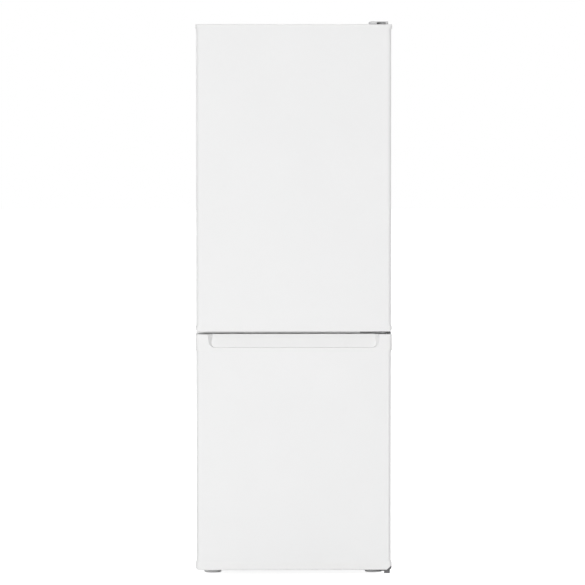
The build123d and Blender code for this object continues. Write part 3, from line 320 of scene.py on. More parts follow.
@dataclass(frozen=True)
class HardPlastic(Moulding):
    """Moulding with a coarser and deeper grain, for feet and fittings."""

    grain: Texture | None = Texture(1100.0, kind=Pattern.CELL)
    depth: float = 0.00008


@dataclass(frozen=True)
class CellFoam(Finish):
    """Rigid foam with its closed cells, darker in their middles."""

    drift: Texture = Texture(260.0, kind=Pattern.CELL)
    gloss_range: Span = (0.0, 0.6)
    depth: float = 0.0009
    strength: float = 1.0


@dataclass(frozen=True)
class Galvanised(Finish):
    """Zinc-dipped sheet with its crystal spangle and the dip's unevenness."""

    drift: Texture = Texture(95.0, 0.0, kind=Pattern.SPANGLE)
    gloss_range: Span = (0.1, 0.9)
    grain: Texture | None = Texture(140.0, 3.0)
    metallic: float = 0.85


@dataclass(frozen=True)
class Glazing(Finish):
    """Clear glass or plastic with smears and a faint ripple.

    Attributes:
        clearness: Share of the light that passes through.
        bending: Index of refraction.
    """

    drift: Texture = Texture(14.0, 4.0, (1.0, 1.0, 0.35))
    gloss_range: Span = (0.35, 0.8)
    grain: Texture | None = Texture(60.0)
    depth: float = 0.00003
    strength: float = 0.4
    clearness: float = 1.0
    bending: float = 1.5

    def paint(self, shader: Shader) -> None:
        """Let light through the surface."""
        super().paint(shader)
        shader.set(Transmission_Weight=self.clearness, IOR=self.bending)


@dataclass(frozen=True)
class LitLens(Glazing):
    """Diffusing lens over a lamp, with prism ribs and a soft glow of its own.

    Attributes:
        glow: Strength of the light it gives.
        glow_colour: Colour of that light.
        ribs: Pattern of the prism ribs.
        rib_depth: Height of the ribs in metres.
    """

    clearness: float = 0.8
    bending: float = 1.45
    glow: float = 1.6
    glow_colour: Colour = (1.0, 0.97, 0.9)
    ribs: Texture = Texture(500.0, 1.0, (1.0, 0.02, 1.0))
    rib_depth: float = 0.0004

    def paint(self, shader: Shader) -> None:
        """Add the ribs and the glow to clear plastic."""
        super().paint(shader)
        shader.relief(shader.pattern(self.ribs), self.rib_depth, strength=0.8)
        shader.set(Emission_Color=self.glow_colour, Emission_Strength=self.glow)


@dataclass(frozen=True)
class TubPlastic(Finish):
    """See-through moulded plastic of the bins and drawers, with flow marks and frosting.

    Attributes:
        cover: Share of the light that each face of a wall holds back.
        bending: Index of refraction.
    """

    drift: Texture = Texture(11.0, 4.0, (0.5, 1.0, 0.5))
    gloss_range: Span = (0.3, 0.75)
    grain: Texture | None = Texture(700.0)
    specular: float = 0.9
    cover: float = 0.2
    bending: float = 1.49

    def paint(self, shader: Shader) -> None:
        """Let light through both faces of a wall."""
        super().paint(shader)
        shader.set(Alpha=self.cover, IOR=self.bending)


@dataclass(frozen=True)
class Rubber(Finish):
    """Soft extrusion with a dusty bloom and a fine skin."""

    drift: Texture = Texture(28.0, 4.0)
    grain: Texture | None = Texture(900.0)
    depth: float = 0.00005
    strength: float = 0.6
    specular: float = 0.35


@dataclass(frozen=True)
class Metal(Finish):
    """Bare or plated metal with stains in the tint and drawn streaks in the gloss and relief."""

    drift: Texture = Texture(26.0, 5.0)
    gloss: Texture | None = Texture(420.0, 3.0, (0.08, 1.0, 1.0))
    depth: float = 0.00004
    strength: float = 0.6
    metallic: float = 1.0


@dataclass(frozen=True)
class Enamel(Finish):
    """Stoved enamel with a mottle, where the shade is that of dust settled on what faces up."""

    drift: Texture = Texture(45.0, 4.0)
    gloss_range: Span = (0.0, 0.6)
    grain: Texture | None = drift
    depth: float = 0.0002
    strength: float = 0.35

    def spots(self, shader: Shader) -> Socket:
        """Return the dust by the way the surface faces, broken up by the mottle."""
        facing = shader.nodes.new("ShaderNodeNewGeometry").outputs["Normal"]
        level = shader.spread(shader.part(facing, "Z"), (0.35, 1.0), (0.0, 0.75))
        return shader.product(level, shader.spread(super().spots(shader), (0.35, 0.65), (0.25, 1.0)))


class Finishes:
    """Every finish of the appliance."""

    door_steel = PowderCoat("door_powder_coat", (0.800, 0.800, 0.800), (0.792, 0.793, 0.794), (0.56, 0.64))
    side_steel = PowderCoat("cabinet_powder_coat", (0.79, 0.79, 0.788), (0.775, 0.776, 0.776), (0.40, 0.50))
    cap = Moulding("door_cap_plastic", (0.804, 0.804, 0.802), (0.794, 0.794, 0.792), (0.58, 0.66))
    top = Moulding(
        "top_panel_plastic",
        (0.770, 0.770, 0.766),
        (0.750, 0.750, 0.746),
        (0.72, 0.82),
        grain=Texture(900.0, kind=Pattern.CELL),
        depth=0.00012,
    )
    hinge_cover = Moulding("hinge_cover_plastic", (0.62, 0.62, 0.62), (0.58, 0.58, 0.58), (0.42, 0.52))
    liner = Liner("liner_plastic", (0.78, 0.785, 0.785), (0.765, 0.77, 0.772), (0.24, 0.34))
    fluted = FlutedLiner("fridge_liner_plastic", (0.78, 0.785, 0.785), (0.765, 0.77, 0.772), (0.26, 0.36))
    control = Moulding("control_plastic", (0.74, 0.745, 0.75), (0.72, 0.725, 0.73), (0.36, 0.46))
    trim = Moulding("shelf_trim_plastic", (0.80, 0.80, 0.80), (0.785, 0.785, 0.785), (0.28, 0.38))
    foam = CellFoam("rigid_foam", (0.62, 0.52, 0.30), (0.80, 0.70, 0.45), (0.80, 0.95))
    zinc = Galvanised("galvanised_sheet", (0.50, 0.52, 0.53), (0.60, 0.62, 0.63), (0.34, 0.50))
    glass = Glazing("tempered_glass", (0.93, 0.98, 0.965), (0.90, 0.965, 0.95), (0.0, 0.03))
    clear = TubPlastic(
        "clear_tub_plastic",
        (0.86, 0.905, 0.925),
        (0.83, 0.885, 0.91),
        (0.08, 0.18),
        cover=0.24,
        depth=0.00001,
    )
    frosted = TubPlastic(
        "frosted_drawer_plastic",
        (0.86, 0.895, 0.91),
        (0.84, 0.88, 0.90),
        (0.30, 0.42),
        cover=0.42,
        depth=0.00006,
    )
    lens = LitLens("lamp_lens", (0.96, 0.96, 0.94), (0.94, 0.94, 0.91), (0.25, 0.35))
    gasket = Rubber("gasket_rubber", (0.68, 0.68, 0.67), (0.62, 0.62, 0.61), (0.52, 0.66))
    black_rubber = Rubber("mount_rubber", (0.020, 0.020, 0.020), (0.035, 0.035, 0.034), (0.60, 0.78))
    hinge = Enamel("hinge_coating", (0.095, 0.095, 0.10), (0.13, 0.13, 0.128), (0.42, 0.60))
    # Lighter copies of the dark hinge coating: painted light that makes up for the shade on the middle hinge
    # in the door gap and on the upper one under its cover.
    middle_hinge_painted_light = Enamel("middle_hinge_coating", (0.36, 0.36, 0.365), (0.40, 0.40, 0.395), (0.42, 0.60))
    upper_hinge_painted_light = Enamel("upper_hinge_coating", (0.36, 0.36, 0.365), (0.42, 0.42, 0.415), (0.42, 0.60))
    screw = Metal("screw_zinc", (0.55, 0.55, 0.56), (0.46, 0.46, 0.47), (0.24, 0.38))
    dark = HardPlastic("dark_plastic", (0.030, 0.030, 0.031), (0.040, 0.040, 0.041), (0.42, 0.56))
    foot = HardPlastic("foot_plastic", (0.86, 0.86, 0.86), (0.82, 0.82, 0.82), (0.42, 0.56))
    aluminium = Metal(
        "rolled_aluminium",
        (0.74, 0.75, 0.76),
        (0.66, 0.67, 0.69),
        (0.28, 0.44),
        gloss=Texture(300.0, 3.0, (0.05, 1.0, 1.0)),
    )
    enamel = Enamel("black_enamel", (0.012, 0.012, 0.013), (0.22, 0.21, 0.195), (0.28, 0.70))
    copper = Metal(
        "copper_pipe",
        (0.70, 0.36, 0.22),
        (0.42, 0.21, 0.13),
        (0.24, 0.45),
        gloss=Texture(260.0, 3.0, (1.0, 1.0, 0.15)),
    )
    board = Moulding("lamp_board", (0.82, 0.81, 0.74), (0.78, 0.77, 0.68), (0.45, 0.6))


@dataclass(frozen=True)
class EdgeBreak:
    """Small rounding that a made edge has.

    Attributes:
        width: Width of the rounding in metres.
        steps: Segments across it.
        from_angle: Least angle of an edge that is rounded, in degrees.
    """

    width: float
    steps: int = 2
    from_angle: float = 40.0

    def apply(self, piece: bpy.types.Object) -> None:
        """Add the rounding to a CAD node or a new piece, as modifiers."""
        weld = piece.modifiers.new("joined_faces", "WELD")
        weld.merge_threshold = WELD_DISTANCE
        bevel = piece.modifiers.new("edge_break", "BEVEL")
        bevel.width = self.width
        bevel.segments = self.steps
        bevel.limit_method = "ANGLE"
        bevel.angle_limit = math.radians(self.from_angle)
        bevel.harden_normals = False


def make_piece(
    name: str,
    shape: Shape,
    finish: Finish,
    body: str,
    replaced: str | None = None,
    crease: float = 35.0,
) -> bpy.types.Object:
    """Turn a bmesh into a piece that rides on a body.

    Args:
        name: Name of the piece.
        shape: The bmesh, which is freed.
        finish: Its surface finish.
        body: CAD body that carries it.
        replaced: CAD node that it stands for, if any.
        crease: Angle in degrees over which an edge stays sharp.

    Returns:
        The new object.
    """
    bmesh.ops.remove_doubles(shape, verts=shape.verts, dist=MERGE_DISTANCE)
    bmesh.ops.recalc_face_normals(shape, faces=shape.faces)
    mesh = bpy.data.meshes.new(name)
    shape.to_mesh(mesh)
    shape.free()
    mesh.polygons.foreach_set("use_smooth", [True] * len(mesh.polygons))
    mesh.set_sharp_from_angle(angle=math.radians(crease))
    mesh.materials.append(finish.material())
    piece = bpy.data.objects.new(name, mesh)
    bpy.context.scene.collection.objects.link(piece)
    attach(piece, body)
    if replaced is not None:
        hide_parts(replaced)
    LOG.info("piece %s on %s", piece.name, body)
    return piece


def coat(nodes: Iterable[str], finish: Finish, edge: EdgeBreak | None = None) -> None:
    """Give CAD nodes a finish and, where asked, an edge break.

    Args:
        nodes: Names of the CAD nodes.
        finish: Their surface finish.
        edge: Rounding of their sharp edges, or None.
    """
    for name in nodes:
        node = bpy.data.objects[name]
        node.data.materials.clear()
        node.data.materials.append(finish.material())
        if edge is not None:
            edge.apply(node)
        LOG.info("node %s in %s", name, finish.name)


def merge_in(shape: Shape, own: Shape) -> Verts:
    """Move one bmesh's content into another, and free it.

    Args:
        shape: The bmesh that receives.
        own: The bmesh that is emptied.

    Returns:
        The vertices that were received.
    """
    before = set(shape.verts)
    carrier = bpy.data.meshes.new("carrier")
    own.to_mesh(carrier)
    own.free()
    shape.from_mesh(carrier)
    bpy.data.meshes.remove(carrier)
    return [vert for vert in shape.verts if vert not in before]


def stand(shape: Shape, axle: Axle, centre: Place) -> None:
    """Lay a shape that was made upright at the origin along an axle, at its place."""
    bmesh.ops.transform(shape, matrix=Matrix.Translation(centre) @ axle.value, verts=shape.verts)


def raised(shape: Shape, faces: Faces, vec: Place) -> tuple[Faces, Verts]:
    """Extrude faces along a vector, with the old ones kept as the base.

    Args:
        shape: The bmesh that holds the faces.
        faces: The faces to extrude.
        vec: How far they go.

    Returns:
        The faces at the far end, and their vertices.
    """
    grown = bmesh.ops.extrude_face_region(shape, geom=faces, use_keep_orig=True)["geom"]
    verts = [item for item in grown if isinstance(item, bmesh.types.BMVert)]
    bmesh.ops.translate(shape, vec=vec, verts=verts)
    return [item for item in grown if isinstance(item, bmesh.types.BMFace)], verts


def rounded(shape: Shape, rounding: float, steps: int) -> None:
    """Round every edge of a shape with so many segments."""
    bmesh.ops.bevel(
        shape,
        geom=shape.edges[:],
        offset=rounding,
        affect="EDGES",
        segments=steps,
        profile=0.5,
        material=-1,
    )


def turned(shape: Shape, outline: Sequence[Span], steps: int, axle: Axle, centre: Place) -> None:
    """Add a turned solid to a bmesh.

    Args:
        shape: The bmesh to add to.
        outline: Radius and height of each corner of the outline, from end to end.
        steps: Segments round the turn.
        axle: Axis that it stands along.
        centre: Place of the outline's origin.
    """
    own = bmesh.new()
    corners = [own.verts.new((radius, 0.0, height)) for radius, height in outline]
    edges = [own.edges.new(pair) for pair in zip(corners, corners[1:])]
    bmesh.ops.spin(
        own,
        geom=corners + edges,
        cent=(0.0, 0.0, 0.0),
        axis=(0.0, 0.0, 1.0),
        angle=math.tau,
        steps=steps,
        use_merge=True,
    )
    bmesh.ops.remove_doubles(own, verts=own.verts, dist=MERGE_DISTANCE)
    bmesh.ops.recalc_face_normals(own, faces=own.faces)
    stand(own, axle, centre)
    merge_in(shape, own)


def block(shape: Shape, low: Place, high: Place, rounding: float, steps: int = 3) -> Verts:
    """Add a box with rounded edges to a bmesh.

    Args:
        shape: The bmesh to add to.
        low: Lowest corner.
        high: Highest corner.
        rounding: Radius of the edges.
        steps: Segments of the rounding.

    Returns:
        The new vertices.
    """
    start, stop = Vector(low), Vector(high)
    own = bmesh.new()
    bmesh.ops.create_cube(own, size=1.0)
    bmesh.ops.scale(own, vec=stop - start, verts=own.verts)
    bmesh.ops.translate(own, vec=(start + stop) / 2.0, verts=own.verts)
    rounded(own, rounding, steps)
    return merge_in(shape, own)


def serrate(shape: Shape, radius: float, growth: float) -> None:
    """Raise every other face of a turned wall into a grip rib.

    Args:
        shape: The bmesh, still upright at the origin.
        radius: Radius of the wall.
        growth: Height of the ribs.
    """
    shape.normal_update()
    level, close = 0.2, 1e-6
    wall = [
        face
        for face in shape.faces
        if abs(face.normal.z) < level
        and all(abs(vert.co.to_2d().length - radius) < close for vert in face.verts)
    ]
    wall.sort(key=lambda face: math.atan2(face.calc_center_median().y, face.calc_center_median().x))
    ribs = bmesh.ops.extrude_discrete_faces(shape, faces=wall[::2])["faces"]
    verts = list({vert for face in ribs for vert in face.verts})
    factor = 1.0 + growth / radius
    bmesh.ops.scale(shape, vec=(factor, factor, 1.0), verts=verts)


@dataclass(frozen=True)
class HexScrew:
    """Hexagon head of a screw on a washer flange, with a dished top.

    Attributes:
        radius: Radius of the flange.
        height: Height of the head with its flange.
        flange: Outline of the flange, in shares of the radius and the height.
        hexagon: Share of the radius that the hexagon's corners reach.
        sunk: Share of the height where the hexagon starts.
        dish: Share of the radius for each step of the dish, and share of the height for its depth.
    """

    radius: float
    height: float
    flange: Outline = ((0.0, 0.0), (1.0, 0.0), (1.0, 0.16), (0.82, 0.4), (0.0, 0.4))
    hexagon: float = 0.8
    sunk: float = 0.36
    dish: Span = (0.12, 0.18)

    def add(self, shape: Shape, axle: Axle, centre: Place) -> None:
        """Add one head to a bmesh.

        Args:
            shape: The bmesh to add to.
            axle: Axis that it stands along.
            centre: Place of its seat.
        """
        outline = [(across * self.radius, up * self.height) for across, up in self.flange]
        turned(shape, outline, 24, axle, centre)
        own = bmesh.new()
        start = self.sunk * self.height
        bmesh.ops.create_circle(own, segments=6, radius=self.hexagon * self.radius, cap_ends=True)
        bmesh.ops.translate(own, vec=(0.0, 0.0, start), verts=own.verts)
        top, _ = raised(own, own.faces[:], (0.0, 0.0, self.height - start))
        for depth in (0.0, -self.dish[1] * self.height):
            bmesh.ops.inset_region(own, faces=top, thickness=self.dish[0] * self.radius, depth=depth)
        bmesh.ops.recalc_face_normals(own, faces=own.faces)
        stand(own, axle, centre)
        merge_in(shape, own)


class SubAssembly:
    """A part of the appliance that is dressed and then gets its own pieces."""

    def dress(self) -> None:
        """Give the part's CAD nodes their finishes, where it has any."""

    def build(self) -> None:
        """Make the part's new pieces, where it has any."""


@dataclass(frozen=True)
class Cabinet(SubAssembly):
    """Outer shell of the appliance, with its foam, rails and base.

    Attributes:
        fold: Rounding of the moulded top's edges.
        screw: Head of a back panel's screw.
        screw_heights: Heights of those screws.
        screw_offset: Their distance from the middle.
    """

    fold: EdgeBreak = EdgeBreak(0.0006)
    screw: HexScrew = HexScrew(0.0042, 0.0020)
    screw_heights: tuple[float, ...] = (0.262, 0.570, 0.880, 1.190, 1.482)
    screw_offset: float = 0.256

    def dress(self) -> None:
        """Give the shell's nodes their finishes."""
        coat(("left_side_panel", "right_side_panel", "front_rails", "mullion"), Finishes.side_steel)
        coat(("top_panel",), Finishes.top, self.fold)
        coat(("back_panel", "compressor_bay_panel", "base_frame"), Finishes.zinc)
        coat(("cabinet_foam", "fridge_door_foam", "freezer_door_foam"), Finishes.foam)

    def build(self) -> None:
        """Make the screws along both edges of the back panel."""
        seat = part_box("back_panel")[1].y
        shape = bmesh.new()
        for height in self.screw_heights:
            for hand in Hand:
                self.screw.add(shape, Axle.BACKWARD, (hand.value * self.screw_offset, seat, height))
        make_piece("back_panel_screws", shape, Finishes.screw, "cabinet")


@dataclass(frozen=True)
class Door(SubAssembly):
    """One of the two doors.

    Attributes:
        body: CAD body of the door.
        caps: Nodes of its moulded caps.
        moulded_edge: Rounding of the caps' edges.
        gasket_width: Width of the gasket's flange.
        gasket_crease: Angle over which the gasket's edges stay sharp, in degrees.
        bellows: Levels of the gasket, each a share of its depth with an outer and an inner inset.
    """

    body: str
    caps: tuple[str, ...]
    moulded_edge: EdgeBreak = EdgeBreak(0.0006)
    gasket_width: float = 0.014
    gasket_crease: float = 60.0
    bellows: tuple[Point, ...] = (
        (0.14, 0.0000, 0.0000), (0.22, 0.0030, 0.0030), (0.36, 0.0008, 0.0034), (0.50, 0.0030, 0.0022),
        (0.60, 0.0004, 0.0004), (0.90, 0.0000, 0.0000), (1.00, 0.0014, 0.0014),
    )

    def dress(self) -> None:
        """Give the door's nodes their finishes."""
        coat((f"{self.body}_skin",), Finishes.door_steel)
        coat(self.caps, Finishes.cap, self.moulded_edge)
        coat((f"{self.body}_liner",), Finishes.liner)

    def build(self) -> None:
        """Make the bellows gasket with its magnet pocket, in place of the plain one."""
        node = f"{self.body}_gasket"
        low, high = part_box(node)
        size, centre = high - low, (low + high) / 2.0
        shape = bmesh.new()
        for inset in (0.0, self.gasket_width):
            rim = bmesh.ops.create_circle(shape, segments=4, radius=math.sqrt(0.5), cap_ends=False)["verts"]
            for degrees, axis in ((45, "Z"), (90, "X")):
                bmesh.ops.rotate(shape, verts=rim, matrix=Matrix.Rotation(math.radians(degrees), 3, axis))
            bmesh.ops.scale(shape, vec=(size.x - 2 * inset, 1.0, size.z - 2 * inset), verts=rim)
        bmesh.ops.translate(shape, vec=(centre.x, low.y, centre.z), verts=shape.verts)
        faces = bmesh.ops.bridge_loops(shape, edges=shape.edges)["faces"]
        level = 0.0
        for share, outer, inner in self.bellows:
            base = faces
            faces, verts = raised(shape, base, (0.0, (share - level) * size.y, 0.0))
            if level > 0.0:
                bmesh.ops.delete(shape, geom=base, context="FACES")
            self.pull_in(shape, verts, centre, size / 2.0, (outer, self.gasket_width - inner))
            level = share
        make_piece(
            f"{node}_bellows", shape, Finishes.gasket, self.body, node, self.gasket_crease
        )

    def pull_in(self, shape: Shape, verts: Verts, centre: Vector, half: Vector, insets: Span) -> None:
        """Set the outer and the inner corners of the gasket's ring to their insets at one level.

        Args:
            shape: The gasket's bmesh.
            verts: The eight corners of the level.
            centre: Middle of the gasket's box.
            half: Half the box's size.
            insets: Distances of the outer and the inner corners from the box.
        """
        ranked = sorted(verts, key=lambda vert: abs(vert.co.x - centre.x))
        for corners, inset in zip((ranked[4:], ranked[:4]), insets):
            reach = corners[0].co - centre
            vec = ((half.x - inset) / abs(reach.x), 1.0, (half.z - inset) / abs(reach.z))
            bmesh.ops.scale(shape, vec=vec, space=Matrix.Translation(-centre), verts=corners)


@dataclass(frozen=True)
class FridgeInterior(SubAssembly):
    """Fridge compartment with its shelves, crisper, control housing and lamp.

    Attributes:
        edge: Rounding of the trims' edges.
        knob_axis: Place of the knob's axis on the housing's front.
        knob_wall: Radius of the knob under its ribs.
        knob_rib: Height of the knob's ribs.
        knob_outline: Radius and height along the knob's outline.
        ridge: Lowest and highest corner of the knob's grip ridge.
        ridge_line: Lowest and highest corner of the line on the ridge.
        mark: Lowest and highest corner of the shortest mark on the knob's face.
        mark_growth: How much each next mark is longer.
        mark_angles: Angle of each mark, in degrees.
        roundings: Radius of the edges of the ridge, of the line on it and of a mark.
        pointer_size: Radius, height and edge rounding of the pointer.
        pointer_place: Place of the pointer from the knob's axis.
        switch_radius: Radius of the light switch's plunger.
        switch_collar: Shares of its length where the collar's step begins and ends.
        switch_dome: Shares of its radius across and back from the tip, along the dome.
        diode_count: Diodes under the lamp's board.
        diode_outline: Radius and height along a diode's outline.
    """

    edge: EdgeBreak = EdgeBreak(0.0008)
    knob_axis: Point = (-0.060, -0.1853, 1.441)
    knob_wall: float = 0.0124
    knob_rib: float = 0.0006
    knob_outline: Outline = (
        (0.0, -0.0105), (0.0030, -0.0105), (0.0030, 0.0), (knob_wall, 0.0), (knob_wall, 0.0072),
        (knob_wall - 0.0012, 0.0086), (0.0, 0.0088),
    )
    ridge: tuple[Point, Point] = ((-0.0022, -0.0112, 0.0070), (0.0022, 0.0112, 0.0108))
    ridge_line: tuple[Point, Point] = ((-0.0006, 0.0040, 0.0100), (0.0006, 0.0100, 0.0109))
    mark: tuple[Point, Point] = ((-0.0003, 0.0090, 0.0080), (0.0003, 0.0104, 0.0089))
    mark_growth: float = 0.0002
    mark_angles: tuple[int, ...] = (60, 100, 140, 180, 220, 260, 300)
    roundings: Point = (0.0012, 0.0002, 0.0001)
    pointer_size: Point = (0.0024, 0.0009, 0.0002)
    pointer_place: Point = (0.0, 0.0006, 0.0165)
    switch_radius: float = 0.004
    switch_collar: Span = (0.35, 0.36)
    switch_dome: Outline = ((0.85, 0.75), (0.74, 0.42), (0.50, 0.15), (0.22, 0.03))
    diode_count: int = 6
    diode_outline: Outline = (
        (0.0, -0.0013), (0.0009, -0.0011), (0.0016, -0.0005), (0.0018, 0.0001), (0.0, 0.0001),
    )

    def dress(self) -> None:
        """Give the compartment's nodes their finishes."""
        coat(("fridge_liner",), Finishes.fluted)
        coat(("control_housing", "thermostat_knob", "light_switch_plunger"), Finishes.control)
        coat(("shelf_trims",), Finishes.trim, self.edge)
        coat(("upper_shelf", "lower_shelf", "crisper_cover"), Finishes.glass)
        coat(("crisper_drawer",), Finishes.clear)
        coat(("lamp_cover",), Finishes.lens)
        coat(("lamp",), Finishes.board)
        coat(("fridge_evaporator",), Finishes.aluminium)

    def build(self) -> None:
        """Make the knob, its scale and pointer, the light switch and the lamp's diodes."""
        self.knob()
        self.scale()
        self.pointer()
        self.light_switch()
        self.diodes()

    def knob(self) -> None:
        """Make the ribbed thermostat knob with its grip ridge, in place of the plain one."""
        shape = bmesh.new()
        turned(shape, self.knob_outline, 60, Axle.UP, Vector())
        serrate(shape, self.knob_wall, self.knob_rib)
        block(shape, *self.ridge, self.roundings[0])
        stand(shape, Axle.FORWARD, self.knob_axis)
        make_piece(
            "thermostat_knob_ribbed", shape, Finishes.control, "knob", "thermostat_knob"
        )

    def scale(self) -> None:
        """Make the marks on the knob's face and the line on its ridge."""
        shape = bmesh.new()
        _, line_rounding, mark_rounding = self.roundings
        low, high = self.mark
        for step, angle in enumerate(self.mark_angles):
            start = Vector(low) - Vector((0.0, step * self.mark_growth, 0.0))
            verts = block(shape, start, high, mark_rounding, 1)
            bmesh.ops.rotate(shape, verts=verts, matrix=Matrix.Rotation(math.radians(angle), 3, "Z"))
        block(shape, *self.ridge_line, line_rounding, 1)
        stand(shape, Axle.FORWARD, self.knob_axis)
        make_piece("thermostat_scale", shape, Finishes.dark, "knob")

    def pointer(self) -> None:
        """Make the raised pointer over the knob, on the housing's front."""
        radius, height, rounding = self.pointer_size
        shape = bmesh.new()
        bmesh.ops.create_circle(shape, segments=3, radius=radius, cap_ends=True)
        raised(shape, shape.faces[:], (0.0, 0.0, height))
        rounded(shape, rounding, 2)
        bmesh.ops.rotate(shape, verts=shape.verts, matrix=Matrix.Rotation(math.pi, 3, "Z"))
        stand(shape, Axle.FORWARD, Vector(self.knob_axis) + Vector(self.pointer_place))
        make_piece("thermostat_pointer", shape, Finishes.dark, "cabinet")

    def light_switch(self) -> None:
        """Make the domed light switch plunger with its collar, in place of the plain one."""
        low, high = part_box("light_switch_plunger")
        centre, length, radius = (low + high) / 2.0, high.y - low.y, self.switch_radius
        neck = self.switch_dome[0][0] * radius
        begin, end = (share * length for share in self.switch_collar)
        outline = [(0.0, 0.0), (radius, 0.0), (radius, begin), (neck, end)]
        outline += [(across * radius, length - back * radius) for across, back in self.switch_dome]
        outline.append((0.0, length))
        shape = bmesh.new()
        turned(shape, outline, 32, Axle.FORWARD, (centre.x, high.y, centre.z))
        make_piece(
            "light_switch_button",
            shape,
            Finishes.control,
            "light_switch",
            "light_switch_plunger",
        )

    def diodes(self) -> None:
        """Make the row of diodes under the lamp's board."""
        low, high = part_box("lamp")
        shape = bmesh.new()
        for step in range(self.diode_count):
            x = low.x + (step + 0.5) / self.diode_count * (high.x - low.x)
            place = (x, (low.y + high.y) / 2.0, low.z)
            turned(shape, self.diode_outline, 16, Axle.UP, place)
        make_piece("lamp_diodes", shape, Finishes.lens, "cabinet")


@dataclass(frozen=True)
class HingeCorner(SubAssembly):
    """Dark mouldings at the hinge corner of the lower door.

    Attributes:
        cap: Node of the lower door's bottom cap.
        cut_from: Place on the cap's underside where the boot begins.
        cut_to: Place on the cap's side where it ends.
        edge: Rounding of both sides' edges.
        end_cap: Lowest and highest corner of the middle hinge's end cap.
        end_rounding: Radius of its edges.
    """

    cap: str = "freezer_door_bottom_cap"
    cut_from: Point = (0.2555, 0.0, 0.0140)
    cut_to: Point = (0.2700, 0.0, 0.0265)
    edge: EdgeBreak = EdgeBreak(0.0006)
    end_cap: tuple[Point, Point] = ((0.2558, -0.2720, 0.6657), (0.2678, -0.2530, 0.6713))
    end_rounding: float = 0.0018

    def build(self) -> None:
        """Make the boot, the rest of its cap, and the hinge's end cap between the doors."""
        self.split_cap(f"{self.cap}_body", Finishes.cap, "white_moulding", False)
        self.split_cap("freezer_door_corner_boot", Finishes.dark, "dark_plastic", True)
        shape = bmesh.new()
        block(shape, *self.end_cap, self.end_rounding)
        make_piece("mid_hinge_end_cap", shape, Finishes.dark, "cabinet")

    def split_cap(self, name: str, finish: Finish, slot: str, outer: bool) -> None:
        """Make one side of the lower cap, cut along the boot's slanting joint.

        Args:
            name: Name of the piece.
            finish: Its surface finish.
            slot: Material slot of the record; not used.
            outer: Whether it is the boot's side.
        """
        shape = bmesh.new()
        shape.from_mesh(bpy.data.objects[self.cap].data)
        bmesh.ops.remove_doubles(shape, verts=shape.verts, dist=WELD_DISTANCE)
        along = Vector(self.cut_to) - Vector(self.cut_from)
        outwards = along.cross(Vector((0.0, -1.0, 0.0))).normalized()
        cut = bmesh.ops.bisect_plane(
            shape,
            geom=shape.verts[:] + shape.edges[:] + shape.faces[:],
            dist=MERGE_DISTANCE,
            plane_co=self.cut_from,
            plane_no=outwards,
            clear_outer=not outer,
            clear_inner=outer,
        )["geom_cut"]
        rim = [item for item in cut if isinstance(item, bmesh.types.BMEdge)]
        bmesh.ops.triangle_fill(shape, edges=rim, use_beauty=True, normal=outwards)
        self.edge.apply(make_piece(name, shape, finish, "freezer_door", self.cap))


@dataclass(frozen=True)
class DoorBin(SubAssembly):
    """One of the bins on the fridge door.

    Attributes:
        node: CAD node of the bin.
        body: CAD body that carries it.
        rail_inset: Distance of the rail's ends from the bin's sides.
        rail_size: Thickness and height of the rail along the front's upper edge.
        rail_lift: How far the rail stands over the edge, backwards and up.
        rail_rounding: Radius of the rail's edges.
    """

    node: str
    body: str
    rail_inset: float = 0.030
    rail_size: Span = (0.0052, 0.0090)
    rail_lift: float = 0.0012
    rail_rounding: float = 0.0016

    def dress(self) -> None:
        """Give the bin its finish."""
        coat((self.node,), Finishes.clear)

    def build(self) -> None:
        """Make the white rail along the upper edge of the bin's front."""
        low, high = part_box(self.node)
        thick, tall = self.rail_size
        y, z = high.y + self.rail_lift, high.z + self.rail_lift
        start = (low.x + self.rail_inset, y - thick, z - tall)
        shape = bmesh.new()
        block(shape, start, (high.x - self.rail_inset, y, z), self.rail_rounding)
        make_piece(f"{self.node}_rail", shape, Finishes.trim, self.body)


class FreezerInterior(SubAssembly):
    """Freezer compartment with its plate evaporators and drawers."""

    def dress(self) -> None:
        """Give the compartment's nodes their finishes."""
        coat(("freezer_liner",), Finishes.liner)
        coat(("evaporator_shelves",), Finishes.aluminium)
        coat([f"{level}_freezer_drawer" for level in ("top", "middle", "bottom")], Finishes.frosted)


